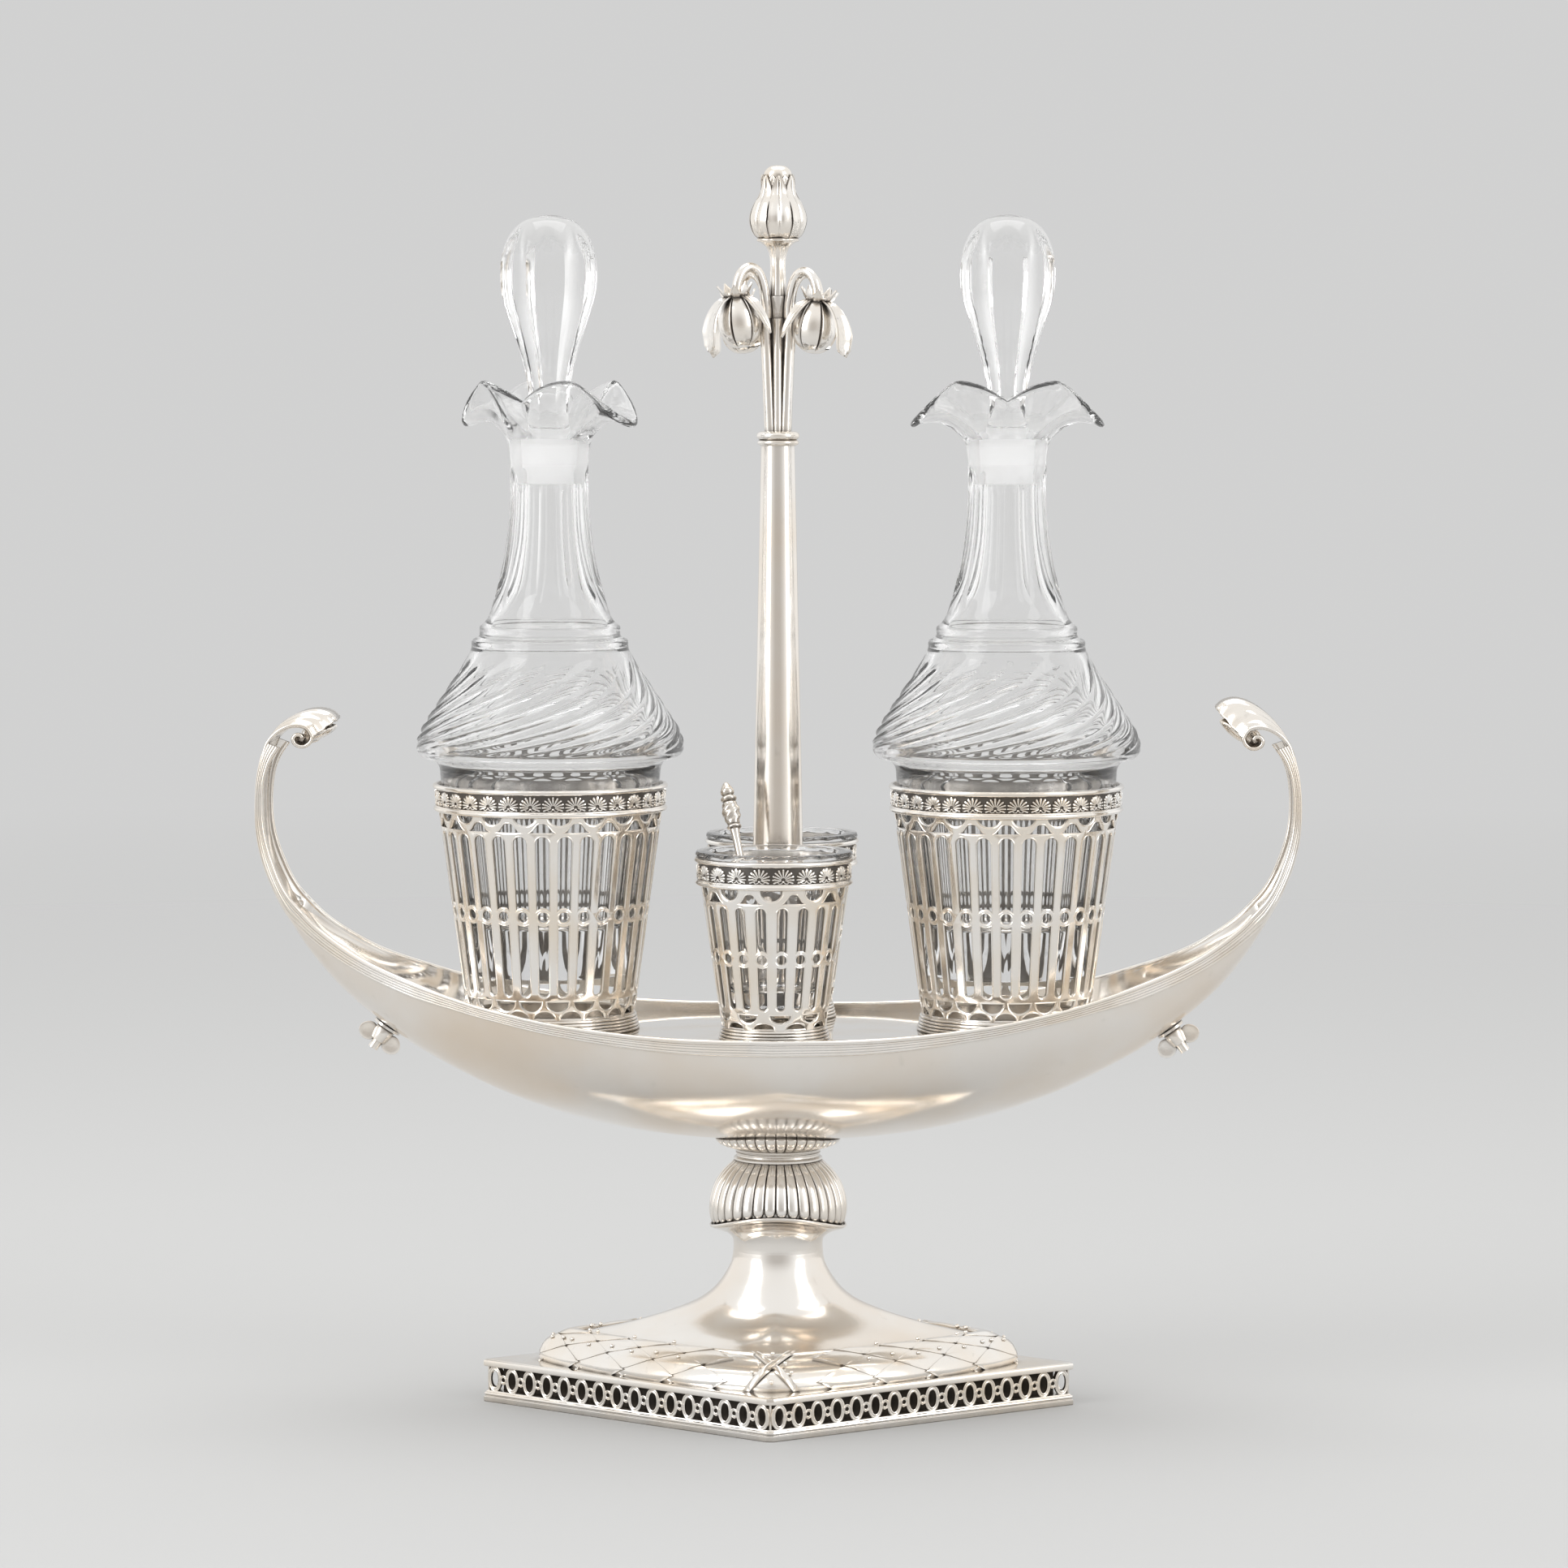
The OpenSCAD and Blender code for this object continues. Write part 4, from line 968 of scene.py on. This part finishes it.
def make_flower(side, degrees, rise):
    angle = radians(degrees)
    drop = Piece()
    # bell of six closed petals, hanging below the calyx; its top is at z = 0
    prof = spline([(0.2, -14.2), (2.2, -13.9), (4.1, -12.6), (5.4, -10.3), (5.85, -7.6), (5.5, -4.9),
        (4.5, -2.4), (3.2, -0.6), (2.4, 0.2)], 4)
    a, u = lobes(6, (-1, -0.94, -0.84, -0.6, -0.3, 0, 0.3, 0.6, 0.84, 0.94), 0)
    open_ = smoothstep(-14.2, -12, prof[:, 1:])
    r = prof[:, :1] * (1 + 0.05 * (1 - u ** 2)) - open_ * (0.75 * smoothstep(0.9, 1.0,
        u) - 0.12 * np.exp(-((u - 0.86) / 0.07) ** 2))
    drop.loft(polar(r, a, prof[:, 1:]))
    # splayed outer petals
    outer = spline([(2.3, 0.3), (5.2, -1.2), (7.8, -4.3), (9.2, -8), (9.5, -11), (10.2, -12.8),
        (11.4, -13.6)], 4)
    wide = np.interp(np.linspace(0, 1, len(outer)), [0, 0.2, 0.5, 0.8, 0.93, 1],
        [1.3, 2.3, 3.2, 2.5, 1.3, 0.15])
    inner = spline([(2.3, 0.3), (4.9, -1.6), (7.2, -4.6), (9.2, -8.4), (10.2, -10.6)], 4)
    slim = np.interp(np.linspace(0, 1, len(inner)), [0, 0.3, 0.7, 1], [1.1, 2.0, 1.3, 0.1])
    back = spline([(2.3, 0.3), (5.0, -1.6), (7.0, -5.0), (7.4, -9), (7.2, -12.4), (8.0, -13.6)], 4)
    # the pattern of petals faces along x in the world, whatever the stem's angle
    world = 0 if abs(degrees - 180) > 90 else pi
    front = -1 if 180 < degrees < 360 else 1
    aside = 0.6 * (1 if world else -1) * -front
    for turn, path, w, cup in ((world + aside, outer, wide, 0.35), (world + pi - aside, inner, slim, 0.4),
            (-front * pi / 2 + 0.3, back, np.resize(wide, len(back)), 0.3)):
        drop.merge(petal(path, w, cup, 0.25).copy(turn_z(turn - angle)))
    # calyx of five turned-up sepals
    leaf = spline([(1.0, -0.2), (2.4, 0.1), (3.7, 0.9), (4.5, 2.2), (5.3, 3.9)], 4)
    w = np.interp(np.linspace(0, 1, len(leaf)), [0, 0.35, 0.7, 1], [1.2, 1.75, 1.25, 0.12])
    for k in range(5):
        sepal = petal(leaf, w, 0.35, 0.15, 0.4, 9)
        drop.merge(sepal.copy(turn_z(front * pi / 2 + k * TAU / 5 - angle)))
    drop.ball((0, 0, 0.3), 2.5, 8, 16, (1, 1, 0.55))
    # the bell hangs with its mouth a little inwards; it is joined on below the bent stem
    lean = radians(9)
    tilt = matrix((cos(lean), 0, -sin(lean)), (0, 1, 0), (sin(lean), 0, cos(lean)),
        (FLOWER_R + 1.2, 0, 313.2 + rise))
    b = drop.copy(tilt)
    stem = spline([(3.95, 309.1), (4.1, 312.5), (5.2, 317.6 + rise * 0.7), (7.2, 320.7 + rise),
        (9.9, 321.75 + rise), (12.6, 320.3 + rise), (14.1, 317.2 + rise), (14.45, 313.4 + rise)], 5)
    b.tube(np.c_[stem[:, 0], 0 * stem[:, 0], stem[:, 1]], np.linspace(1.5, 1.35, len(stem)), 14,
        up=(0, 1, 0))
    b = b.copy(turn_z(angle))
    b.make(f"bell_flower_{side}", CAST_SILVER, f"flower_{side}", 50)


SHAFT_TOP, RING_TOP, SOCKET_TOP = 273.2, 277.3, 315.4


def make_column():
    shaft = ([(0, DECK_Z), (8.6, DECK_Z), (8.75, 108), (8.75, 108.7), (8.5, 109.1), (8.1, 109.3),
        (8.0, 110)] + [(mix(7.95, 7.2, k / 8), mix(111, 157, k / 8)) for k in range(9)]
        + [(mix(7.2, 4.8, k / 12), mix(157, SHAFT_TOP, k / 12)) for k in range(1, 13)] + [(0, SHAFT_TOP)])
    Piece().lathe(shaft, 96).make("shaft", HULL_SILVER, "column_shaft", 40)
    ring = ([(0, SHAFT_TOP), (5.0, SHAFT_TOP)] + arc(5.15, 274.1, 0.75, -80, 70, 7) + [(5.1, 274.85)]
        + arc(4.95, 276.05, 1.15, -75, 75, 9) + [(4.9, RING_TOP), (0, RING_TOP)])
    Piece().lathe(ring, 80).make("double_ring", SILVER, "column_ring", 50)

    b = Piece()
    low, high = RING_TOP, 309.0
    core = [(0, low), (2.7, low), (3.3, high - 0.15), (3.15, high), (0, high)]
    b.lathe(core, 32)
    for degrees in [d for _, d, _ in FLOWERS] + [90, 270]:
        a = radians(degrees)
        big = degrees not in (90, 270)
        out, lean, radius = (2.75, 1.6, 1.62) if big else (2.35, 1.2, 1.3)
        h = np.linspace(0, 1, 8)
        path = np.stack([(out + lean * h) * cos(a), (out + lean * h) * sin(a), mix(low, high, h)], 1)
        b.tube(path, radius, 14, up=(0, 1, 0))
    socket = [(0, 308.9), (2.75, 308.9), (2.8, 311), (3.05, 314.6), (2.95, 315.3), (2.4, SOCKET_TOP),
        (0, SOCKET_TOP)]
    b.lathe(socket, 32)
    b.make("stems", CAST_SILVER, "stem_bundle", 45)


def make_bud():
    b = Piece()

    def fluted(a, r, z):
        return r * (1 - 0.07 * np.abs(np.cos(3 * a)) ** 6 * smoothstep(352, 330, z)), z

    stem = spline([(2.65, SOCKET_TOP), (2.35, 319), (2.3, 324), (2.5, 326.6), (3.3, 328.8), (4.9, 330.2),
        (6.1, 330.7), (6.25, 331.1), (5.9, 331.5)], 5)
    core = spline([(5.6, 331.5), (6.9, 333), (7.6, 336), (7.2, 339), (5.6, 342.3), (4.3, 345),
        (4.05, 347.5), (4.1, 348.6), (3.7, 350.4), (2.2, 351.7), (0.02, 352)], 5)
    b.lathe(np.r_[[(0, SOCKET_TOP)], stem], 72, shape=fluted)
    b.lathe(core, 64)
    path = spline([(5.3, 331.2), (6.95, 332.6), (8.1, 335.6), (8.1, 338), (7.0, 341), (5.5, 343.6),
        (4.85, 345.6), (4.75, 347.6), (4.5, 349.4)], 5)
    t = np.linspace(0, 1, len(path))
    reach = np.interp(t, [0, 0.12, 0.35, 0.6, 0.8, 0.92, 1], [2.1, 2.95, 3.42, 2.75, 1.75, 0.9, 0.05])
    under = path - np.array([[0.45, 0]])
    for line, angle in ((path, -84), (under, -84 + 180 / 7)):
        for k in range(7):
            leaf = petal(line, reach, 0.06, 0.5, cols=15, wrapped=True)
            b.merge(leaf.copy(turn_z(radians(angle) + k * TAU / 7)))
    b.make("bud", CAST_SILVER, "bud_finial", 50)


make_column()
for _side, _angle, _rise in FLOWERS:
    make_flower(_side, _angle, _rise)
make_bud()

# -------------------------------------------------------------------- glass
PANELS = 20                 # cut flutes round a bottle's body
PER_PANEL = 10


def panel(col, count, total):
    """Place of each column in its cut panel, from -1 to 1."""
    return np.mod(col * count / total, 1) * 2 - 1


def twist(z):
    """Turn of the swirled flutes of a bottle's shoulder, in radians."""
    s = np.clip((z - 186.5) / 30, 0, 1)
    return radians(115) * (1 - (1 - s) ** 1.6)


# Sections of a bottle's lip from the neck's outside over the rim to its inside (r, z): at the
# notches front and back, at the crests, and along the two drooping spouts
LIP_NOTCH = [(11.6, 273.5), (12.1, 275.8), (12.8, 278.2), (13.6, 280.6), (14.4, 282.8), (15, 284.4),
    (15.35, 285.4), (15.2, 285.9), (14.7, 285.5), (13.9, 284.2), (12.8, 282.2), (11.4, 279.8), (9.9, 277.6),
    (8.15, 275.6)]
LIP_CREST = [(11.6, 273.5), (12.3, 276.2), (13.5, 279.6), (15, 283.2), (16.7, 286.6), (18.3, 289.1),
    (19.6, 290.2), (20, 290.9), (19.6, 291.5), (18.5, 291.5), (16.4, 289.4), (14.3, 286), (12.3, 282.2),
    (10.3, 278.8), (8.15, 275.6)]
LIP_SPOUT = [(11.6, 273.5), (12.6, 275.4), (14.6, 277.2), (17.2, 278.9), (20.6, 279.8), (24.2, 279.3),
    (26.4, 278.4), (27.2, 278.7), (27.3, 279.5), (26.6, 280.6), (24, 281.9), (20.4, 282.5), (16.4, 281.7),
    (12, 279), (8.15, 275.6)]


def make_bottle(side, x, notch):
    n = PANELS * PER_PANEL
    col = np.arange(n)[None]
    outer = spline([(0, 123.5), (15, 123.5), (15, 123.5), (22.6, 123.5), (23.8, 123.9), (24.35, 125)], 4)
    wall = spline([(24.35, 125), (26.9, 145), (29.5, 165), (30.2, 170.5), (30.9, 176), (31.2, 179.5),
        (31.6, 182.6), (33.2, 184.3), (36.4, 185.2), (37.7, 186.8), (37.95, 188.4), (37.6, 190.8),
        (35.7, 194.8), (30.2, 203.2), (25.6, 210), (22.6, 215.2), (22.2, 216.6), (22.1, 218.2),
        (20.6, 219.1), (19.9, 219.9), (19.9, 222), (18.6, 223.3), (17.4, 224.9), (16.3, 228), (15, 232.4),
        (13.1, 240.4), (11.8, 249), (11.1, 258), (11.1, 265), (11.1, 267.8), (11.6, 273.5)], 5)
    base = np.array(list(outer) + list(wall[1:]))
    r, z = base[:, :1] + 0 * col, base[:, 1:] + 0 * col
    u = panel(col, PANELS, n)
    un = panel(col, PANELS // 2, n)
    body = 0.042 * (1 - u ** 2) * smoothstep(127, 131, z) * smoothstep(177.5 - 5 * u ** 2,
        175.5 - 5 * u ** 2, z)
    swirl = 0.028 * (1 - u ** 2) * smoothstep(187, 192, z) * smoothstep(214, 209, z)
    neck = 0.085 * (1 - un ** 2) * smoothstep(226, 236, z) * smoothstep(268 - 5 * un ** 2,
        264 - 5 * un ** 2, z)
    r = r * (1 - body - swirl - neck)
    angle = col * TAU / n + twist(z)
    low, crest, spout = [resample(spline(p, 6), 61) for p in (LIP_NOTCH, LIP_CREST, LIP_SPOUT)]
    turn = col * TAU / n + twist(250.0) - radians(notch)
    away = np.arccos(np.abs(np.cos(turn))) / (pi / 2)
    up, out = np.sin(pi * np.minimum(away, 0.5)), smoothstep(0.5, 1, away)
    edge = np.linspace(0, 1, 61)[:, None]
    lip_r, lip_z = [mix(mix(low[:, k:k + 1], crest[:, k:k + 1], up), spout[:, k:k + 1], out)
        for k in (0, 1)]
    lip_angle = col * TAU / n + twist(250.0) + 0 * edge
    inner = spline([(8.1, 275.5), (8.1, 275.5), (7.55, 262.5), (7.55, 262.5), (7.5, 259), (8.2, 246),
        (11.2, 233), (16.4, 222), (24.6, 206.5), (31.8, 195), (34, 191), (34.2, 188.4), (31.6, 184.4),
        (28.9, 181), (28.2, 176), (26, 160), (23.5, 142), (22.6, 138.8), (20, 137.4), (0, 136.6)], 4)
    ri, zi = inner[:, :1] + 0 * col, inner[:, 1:] + 0 * col
    b = Piece()
    rows_r = np.concatenate([r, lip_r[1:-1], ri])
    rows_z = np.concatenate([z, lip_z[1:-1], zi])
    rows_a = np.concatenate([angle, lip_angle[1:-1], col * TAU / n + twist(250.0) + 0 * ri])
    p = polar(rows_r, rows_a, rows_z)
    first = len(r) + 61 - 2
    ground = first + int(np.sum(inner[:, 1] > 262.4))
    band = int(np.sum(base[:, 1] < 267.6))
    b.loft(p[:band + 1])
    b.loft(p[band:len(r)], slot=2)
    b.loft(p[len(r) - 1:first + 1])
    b.loft(p[first:ground], slot=1)
    b.loft(p[ground - 1:])
    b = b.copy(matrix(at=(x, 0, 0)))
    b.make(f"cut_bottle_{side}", (CLEAR, FROSTED_PAINTED_LIGHT, HAZY_PAINTED_LIGHT), f"bottle_{side}", 24, body=f"bottle_{side}",
        slot="glass")


def make_stopper(side, x):
    count, n = 8, 96
    col = np.arange(n)[None]
    u = panel(col, count, n)
    head = spline([(7.9, 275.5), (7.9, 275.5), (6.4, 276.6), (5.9, 280), (5.85, 285), (6.6, 292), (9, 301),
        (12.1, 310), (14, 316.5), (14.4, 322), (13.6, 327.6), (11.2, 332.6), (7.6, 336.2), (3.2, 337.8),
        (0, 338.2)], 5)
    plug = spline([(0, 262.5), (7.0, 262.5), (7.0, 262.5), (7.4, 262.9), (7.4, 262.9), (7.9, 275.5)], 3)
    r, z = head[:, :1] + 0 * col, head[:, 1:] + 0 * col
    cut = 0.12 * (1 - u ** 2) * smoothstep(277, 290, z) * smoothstep(337 - 9 * u ** 2, 329 - 9 * u ** 2, z)
    r = r * (1 - cut)
    a = col * TAU / n + radians(-90 - 180 / count)
    b = Piece()
    b.loft(polar(plug[:, :1], a, plug[:, 1:]), slot=1)
    b.loft(polar(r, a, z))
    b = b.copy(matrix(at=(x, 0, 0)))
    b.make(f"cut_stopper_{side}", (CLEAR, FROSTED_PAINTED_LIGHT), f"stopper_{side}", 24, body=f"stopper_{side}",
        slot="glass")


def make_liner(side, y):
    count, n = 16, 160
    col = np.arange(n)[None]
    u = panel(col, count, n)
    outer = spline([(0, 117.5), (13.1, 117.5), (13.1, 117.5), (13.9, 117.8), (14.2, 118.6), (16.4, 135),
        (18.8, 152.6), (19.7, 158.6), (19.9, 159.5), (19.9, 159.5), (21.5, 159.6), (21.5, 159.6),
        (21.95, 160.3), (21.6, 161.1), (21, 161.2)], 4)
    inner = spline([(21, 161.2), (18.8, 161.2), (18.2, 160.9), (17.6, 159.2), (17, 154), (15.2, 141),
        (12.9, 126.4), (11.8, 123), (9.2, 122.1), (0, 121.5)], 5)
    r, z = outer[:, :1] + 0 * col, outer[:, 1:] + 0 * col
    r = r * (1 - 0.05 * (1 - u ** 2) * smoothstep(121, 125, z) * smoothstep(154.5 - 4 * u ** 2,
        152 - 4 * u ** 2, z))
    ri, zi = inner[:, :1] + 0 * col, inner[:, 1:] + 0 * col
    ri = ri + 0.55 * (1 - u ** 2) * smoothstep(147 + 4 * u ** 2, 150 + 4 * u ** 2, zi) * smoothstep(161,
        159.6, zi)
    p = np.stack([np.concatenate([r, ri[1:]]), np.concatenate([z, zi[1:]])], -1)
    a = col * TAU / n
    pts = polar(p[..., 0], a, p[..., 1])
    b = Piece().loft(pts).copy(matrix(at=(0, y, 0)))
    b.make(f"cut_liner_{side}", CLEAR, f"cup_liner_{side}", 24, body=f"liner_{side}", slot="glass")


make_bottle("left", -BOTTLE_X, -115)
make_bottle("right", BOTTLE_X, -90)
make_stopper("left", -BOTTLE_X)
make_stopper("right", BOTTLE_X)
make_liner("front", -CUP_Y)
make_liner("back", CUP_Y)

# ----------------------------------------------------------- rolled volutes
# Paths from the strap's end to the middle of the roll: at the sides and in the middle
ROLL_SIDE = [(145.4, 186.4), (144.2, 189.6), (141.8, 192.3), (138.6, 194.2), (135.4, 194.8), (132.6, 194),
    (131.1, 191.9), (131, 191), (131.5, 189.7), (133, 188.5), (134.8, 188.4), (136.4, 189.4),
    (136.7, 190.9), (135.8, 192), (134.4, 192), (133.8, 191.2)]
ROLL_MIDDLE = [(145.4, 186.4), (143.8, 190.9), (140.4, 194.8), (135.6, 197.4), (130.9, 198.2),
    (127.2, 197.4), (125.2, 195.6), (125.4, 195), (128.4, 196.2), (132.4, 195), (131.4, 193.4),
    (127.6, 193.6), (126.2, 192.9), (127.8, 191.2), (131.2, 190), (134, 190.6)]
ROLL_RISE = [0, 0, 0.35, 0.75, 1, 1, 1, 1, 1, 0.8, 0.5, 0.6, 0.6, 0.3, 0, 0]


def make_volute(side, sign, rise):
    side_path = np.array(ROLL_SIDE)
    lift = np.array(ROLL_RISE)[:, None] * np.array([[-0.35 * rise, rise]])
    middle = np.array(ROLL_MIDDLE) + lift
    c = np.linspace(-1, 1, 61)
    blend = smoothstep(0.97, 0.42, np.abs(c))
    p = np.stack([spline(mix(side_path, middle, part), 5) for part in blend], 1)
    t = np.linspace(0, 1, len(p))[:, None]
    nor = np.gradient(p, axis=0)
    nor /= np.linalg.norm(nor, axis=-1)[..., None]
    nor = np.stack([nor[..., 1], -nor[..., 0]], -1)
    flute = 0.22 * np.cos(np.abs(c) * 44) * smoothstep(0.35, 0.6, np.abs(c)) * smoothstep(0.02, 0.16, t)
    flute = flute + 0.1 * np.cos(c * 60) * smoothstep(0.5, 0.2, np.abs(c)) * smoothstep(0.1, 0.25, t)
    ragged = 0.35 * np.sin(c * 17 + 1) * np.exp(-((t - 0.79) / 0.03) ** 2) * (blend > 0.5)
    y = 12 * c + 0 * t
    shells = []
    for depth in (0, 0.85):
        q = p + nor * (flute + ragged - depth)[..., None]
        shells.append(np.stack([sign * q[..., 0], y, q[..., 1]], -1))
    b = Piece()
    out, inn = shells
    ring = np.concatenate([out, inn[:, ::-1]], 1)
    b.loft(ring)
    for end in (0, -1):
        b.grid(np.stack([out[end], inn[end]]))
    for edge in (0, -1):
        b.tube((out[:, edge] + inn[:, edge]) / 2, 0.55, 8, up=(0, 1, 0))
    b.make(f"shell_volute_{side}", CAST_SILVER, f"volute_{side}", 50)


make_volute("left", -1, 0.5)
make_volute("right", 1, 4.0)


# ------------------------------------------------------ spoon and wing nuts
def make_spoon():
    lean, way = radians(24.5), radians(119)
    frame_x = (cos(lean) * cos(way), cos(lean) * sin(way), -sin(lean))
    frame_y = (-sin(way), cos(way), 0)
    frame_z = (sin(lean) * cos(way), sin(lean) * sin(way), cos(lean))
    b = Piece()

    def twisted(a, r, z):
        zone = smoothstep(10.6, 11.6, z) * smoothstep(17, 16, z)
        return r * (1 - 0.16 * zone * (1 + np.cos(3 * (a - z * 0.9))) / 2), z

    handle = spline([(0, -27.4), (0.95, -27.2), (1.0, -20), (1.1, 0), (1.15, 7.9), (1.15, 7.9), (1.6, 8.2),
        (1.75, 8.55), (1.6, 8.9), (1.3, 9.1), (1.3, 9.1), (1.5, 9.4), (2.05, 11), (2.25, 12.8), (1.8, 14.6),
        (1.3, 15.2), (1.3, 15.2), (1.75, 15.5), (1.9, 16), (1.7, 16.4), (1.2, 16.7), (1.2, 16.7),
        (1.55, 17.3), (1.6, 18.1), (1.1, 19.2), (0.6, 20), (0, 20.4)], 4)
    handle[:, 1] *= np.where(handle[:, 1] > 0, 1.14, 1)
    handle[:, 0] *= np.where(handle[:, 1] > 8, 1.2, 1)
    b.lathe(handle, 32, shape=twisted)
    rho = np.linspace(0, 1, 12)[:, None]
    a = np.arange(32)[None] * TAU / 32
    disc_y, disc_z = 5.1 * rho * np.cos(a), 5.4 * rho * np.sin(a) - 31.2
    hollow = -1.7 * (1 - rho ** 2) + 0.6 + 0 * a
    under, over = [np.stack([hollow + k, disc_y * s, disc_z], -1) for k, s in ((-0.28, 1), (0.28, 0.97))]
    b.loft(np.concatenate([under, over[::-1]]))
    b = b.copy(matrix(frame_x, frame_y, frame_z, (-9.8, -19.5, 157.6)))
    b.make("salt_spoon", SPOON_SILVER, "spoon", 50, body="spoon")


def make_wing_nut(side, sign):
    slope = radians(34.62)
    axis = (sign * sin(slope), 0, -cos(slope))
    across = (-cos(slope), 0, -sign * sin(slope))
    hub = [(1.72, 1.5), (2.6, 1.5), (2.85, 1.8), (2.75, 3.4), (2.4, 4.9), (2.25, 5.5), (1.72, 5.5)]
    b = Piece().lathe(hub, 40, wrap_u=True)
    a = np.arange(28) * TAU / 28
    for wing in (-1, 1):
        rows = []
        for r, t in ((0.2, 0.42), (1.5, 0.42), (2.2, 0.58), (2.55, 0.5), (2.68, 0.2), (2.68, -0.2),
                (2.55, -0.5), (2.2, -0.58), (1.5, -0.42), (0.2, -0.42)):
            long = 1 + 0.12 * np.cos(a - 0.9)
            rows.append(np.stack([wing * (3.75 + r * np.cos(a) * long), t + 0 * a, 4.7 + r * np.sin(a)],
                -1))
        rows = [rows[0] * 0 + rows[0].mean(0)] + rows + [rows[-1] * 0 + rows[-1].mean(0)]
        b.loft(np.array(rows))
    b = b.copy(matrix(across, np.cross(axis, across), axis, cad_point(side)))
    b.make(f"wing_nut_cast_{side}", CAST_SILVER, f"wing_nut_{side}", 45, body=f"wing_nut_{side}")


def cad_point(side):
    """Where a stud leaves the hull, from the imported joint, in millimetres."""
    joint = [j for j in frame["record"]["behaviour"]["joints"] if j["name"] == f"wing_nut_{side}_turn"][0]
    return tuple(v / MM for v in joint["pos_m"])


make_spoon()
make_wing_nut("left", -1)
make_wing_nut("right", 1)


# ------------------------------------------------ finishes of the CAD nodes
def finish_nodes():
    # the foot backing gets painted shade: a near-black finish for the darkness inside the foot
    finishes = {"deck_plate": MIRROR, "deck_stud_left": SILVER, "deck_stud_right": SILVER,
        "washer_left": SILVER, "washer_right": SILVER, "tie_rod": STEEL, "tie_rod_nut": STEEL,
        "foot_backing": SHADE_SHEET}
    for name, mat in finishes.items():
        ob = frame["nodes"][name]
        for slot in ob.material_slots:
            slot.material = mat


finish_nodes()

# -------------------------------------------------------------------- stage
def make_stage():
    floor = bpy.data.meshes.new("floor")
    n, big = 64, 9.0
    rings = [0.0, 0.5, 1.0, 2.0, 4.0, big]
    verts = [(0, 0, 0)] + [(r * cos(k * TAU / n), r * sin(k * TAU / n), 0) for r in rings[1:]
        for k in range(n)]
    faces = [(0, 1 + k, 1 + (k + 1) % n) for k in range(n)]
    for r in range(len(rings) - 2):
        a = 1 + r * n
        faces += [(a + k, a + n + k, a + n + (k + 1) % n, a + (k + 1) % n) for k in range(n)]
    floor.from_pydata(verts, [], faces)
    ob = bpy.data.objects.new("floor", floor)
    SCENE.collection.objects.link(ob)
    mat, tree, bsdf, coord = new_material("floor_paper")
    put(bsdf, Base_Color=(0.53, 0.53, 0.527, 1), Roughness=0.9, Specular_IOR_Level=0.1)
    length = tree.nodes.new("ShaderNodeVectorMath")
    length.operation = "LENGTH"
    tree.links.new(coord.outputs["Object"], length.inputs[0])
    fade = remap(tree, length.outputs["Value"], 0.45, 2.2, 0, 1)
    clear = tree.nodes.new("ShaderNodeBsdfTransparent")
    both = tree.nodes.new("ShaderNodeMixShader")
    out = tree.nodes["Material Output"]
    tree.links.new(fade, both.inputs["Fac"])
    tree.links.new(bsdf.outputs["BSDF"], both.inputs[1])
    tree.links.new(clear.outputs["BSDF"], both.inputs[2])
    tree.links.new(both.outputs["Shader"], out.inputs["Surface"])
    floor.materials.append(mat)


def make_world():
    world = bpy.data.worlds.new("studio")
    SCENE.world = world
    world.use_nodes = True
    tree = world.node_tree
    back = tree.nodes["Background"]
    coord = tree.nodes.new("ShaderNodeTexCoord")
    split = tree.nodes.new("ShaderNodeSeparateXYZ")
    tree.links.new(coord.outputs["Generated"], split.inputs["Vector"])
    behind = remap(tree, split.outputs["Y"], 0.8, 0.95, 0, 1)
    front = remap(tree, split.outputs["Y"], -0.98, -0.7, 1, 0)
    high = remap(tree, split.outputs["Z"], 0.25, 0.8, 0, 1)
    low = blend_colour(tree, front, (0.98, 0.98, 0.975), (0.56, 0.54, 0.52))
    low = blend_colour(tree, behind, low, (0.64, 0.64, 0.638))
    sky = blend_colour(tree, high, low, (0.95, 0.95, 0.945))
    tree.links.new(sky, back.inputs["Color"])
    put(back, Strength=1.0)


def area_light(name, at, size, power):
    """Soft light aimed at the middle of the set."""
    data = bpy.data.lights.new(name, "AREA")
    data.shape = "RECTANGLE"
    data.size, data.size_y = size
    data.energy = power
    ob = bpy.data.objects.new(name, data)
    ob.location = at
    ob.rotation_euler = (Vector((0, 0, 0.17)) - Vector(at)).to_track_quat("-Z", "Y").to_euler()
    SCENE.collection.objects.link(ob)


def make_camera():
    cam = bpy.data.cameras.new("camera")
    cam.lens = 131.09
    cam.sensor_width = 36
    cam.clip_end = 60
    ob = bpy.data.objects.new("camera", cam)
    yaw, pitch, distance, height, aside = radians(2.0), radians(4.27), 1.615, 0.298, 0.0017
    ob.location = (distance * sin(yaw) + aside * cos(yaw), -distance * cos(yaw) + aside * sin(yaw), height)
    ob.rotation_euler = (pi / 2 - pitch, 0, yaw)
    SCENE.collection.objects.link(ob)
    SCENE.camera = ob


make_camera()
make_stage()
make_world()
area_light("key", (-1.35, -0.95, 0.95), (0.8, 1.7), 11)
area_light("fill", (1.5, -0.85, 0.85), (0.7, 1.5), 7)
area_light("top", (0.0, 0.3, 1.7), (1.3, 1.0), 8)
SCENE.view_settings.view_transform = "Standard"
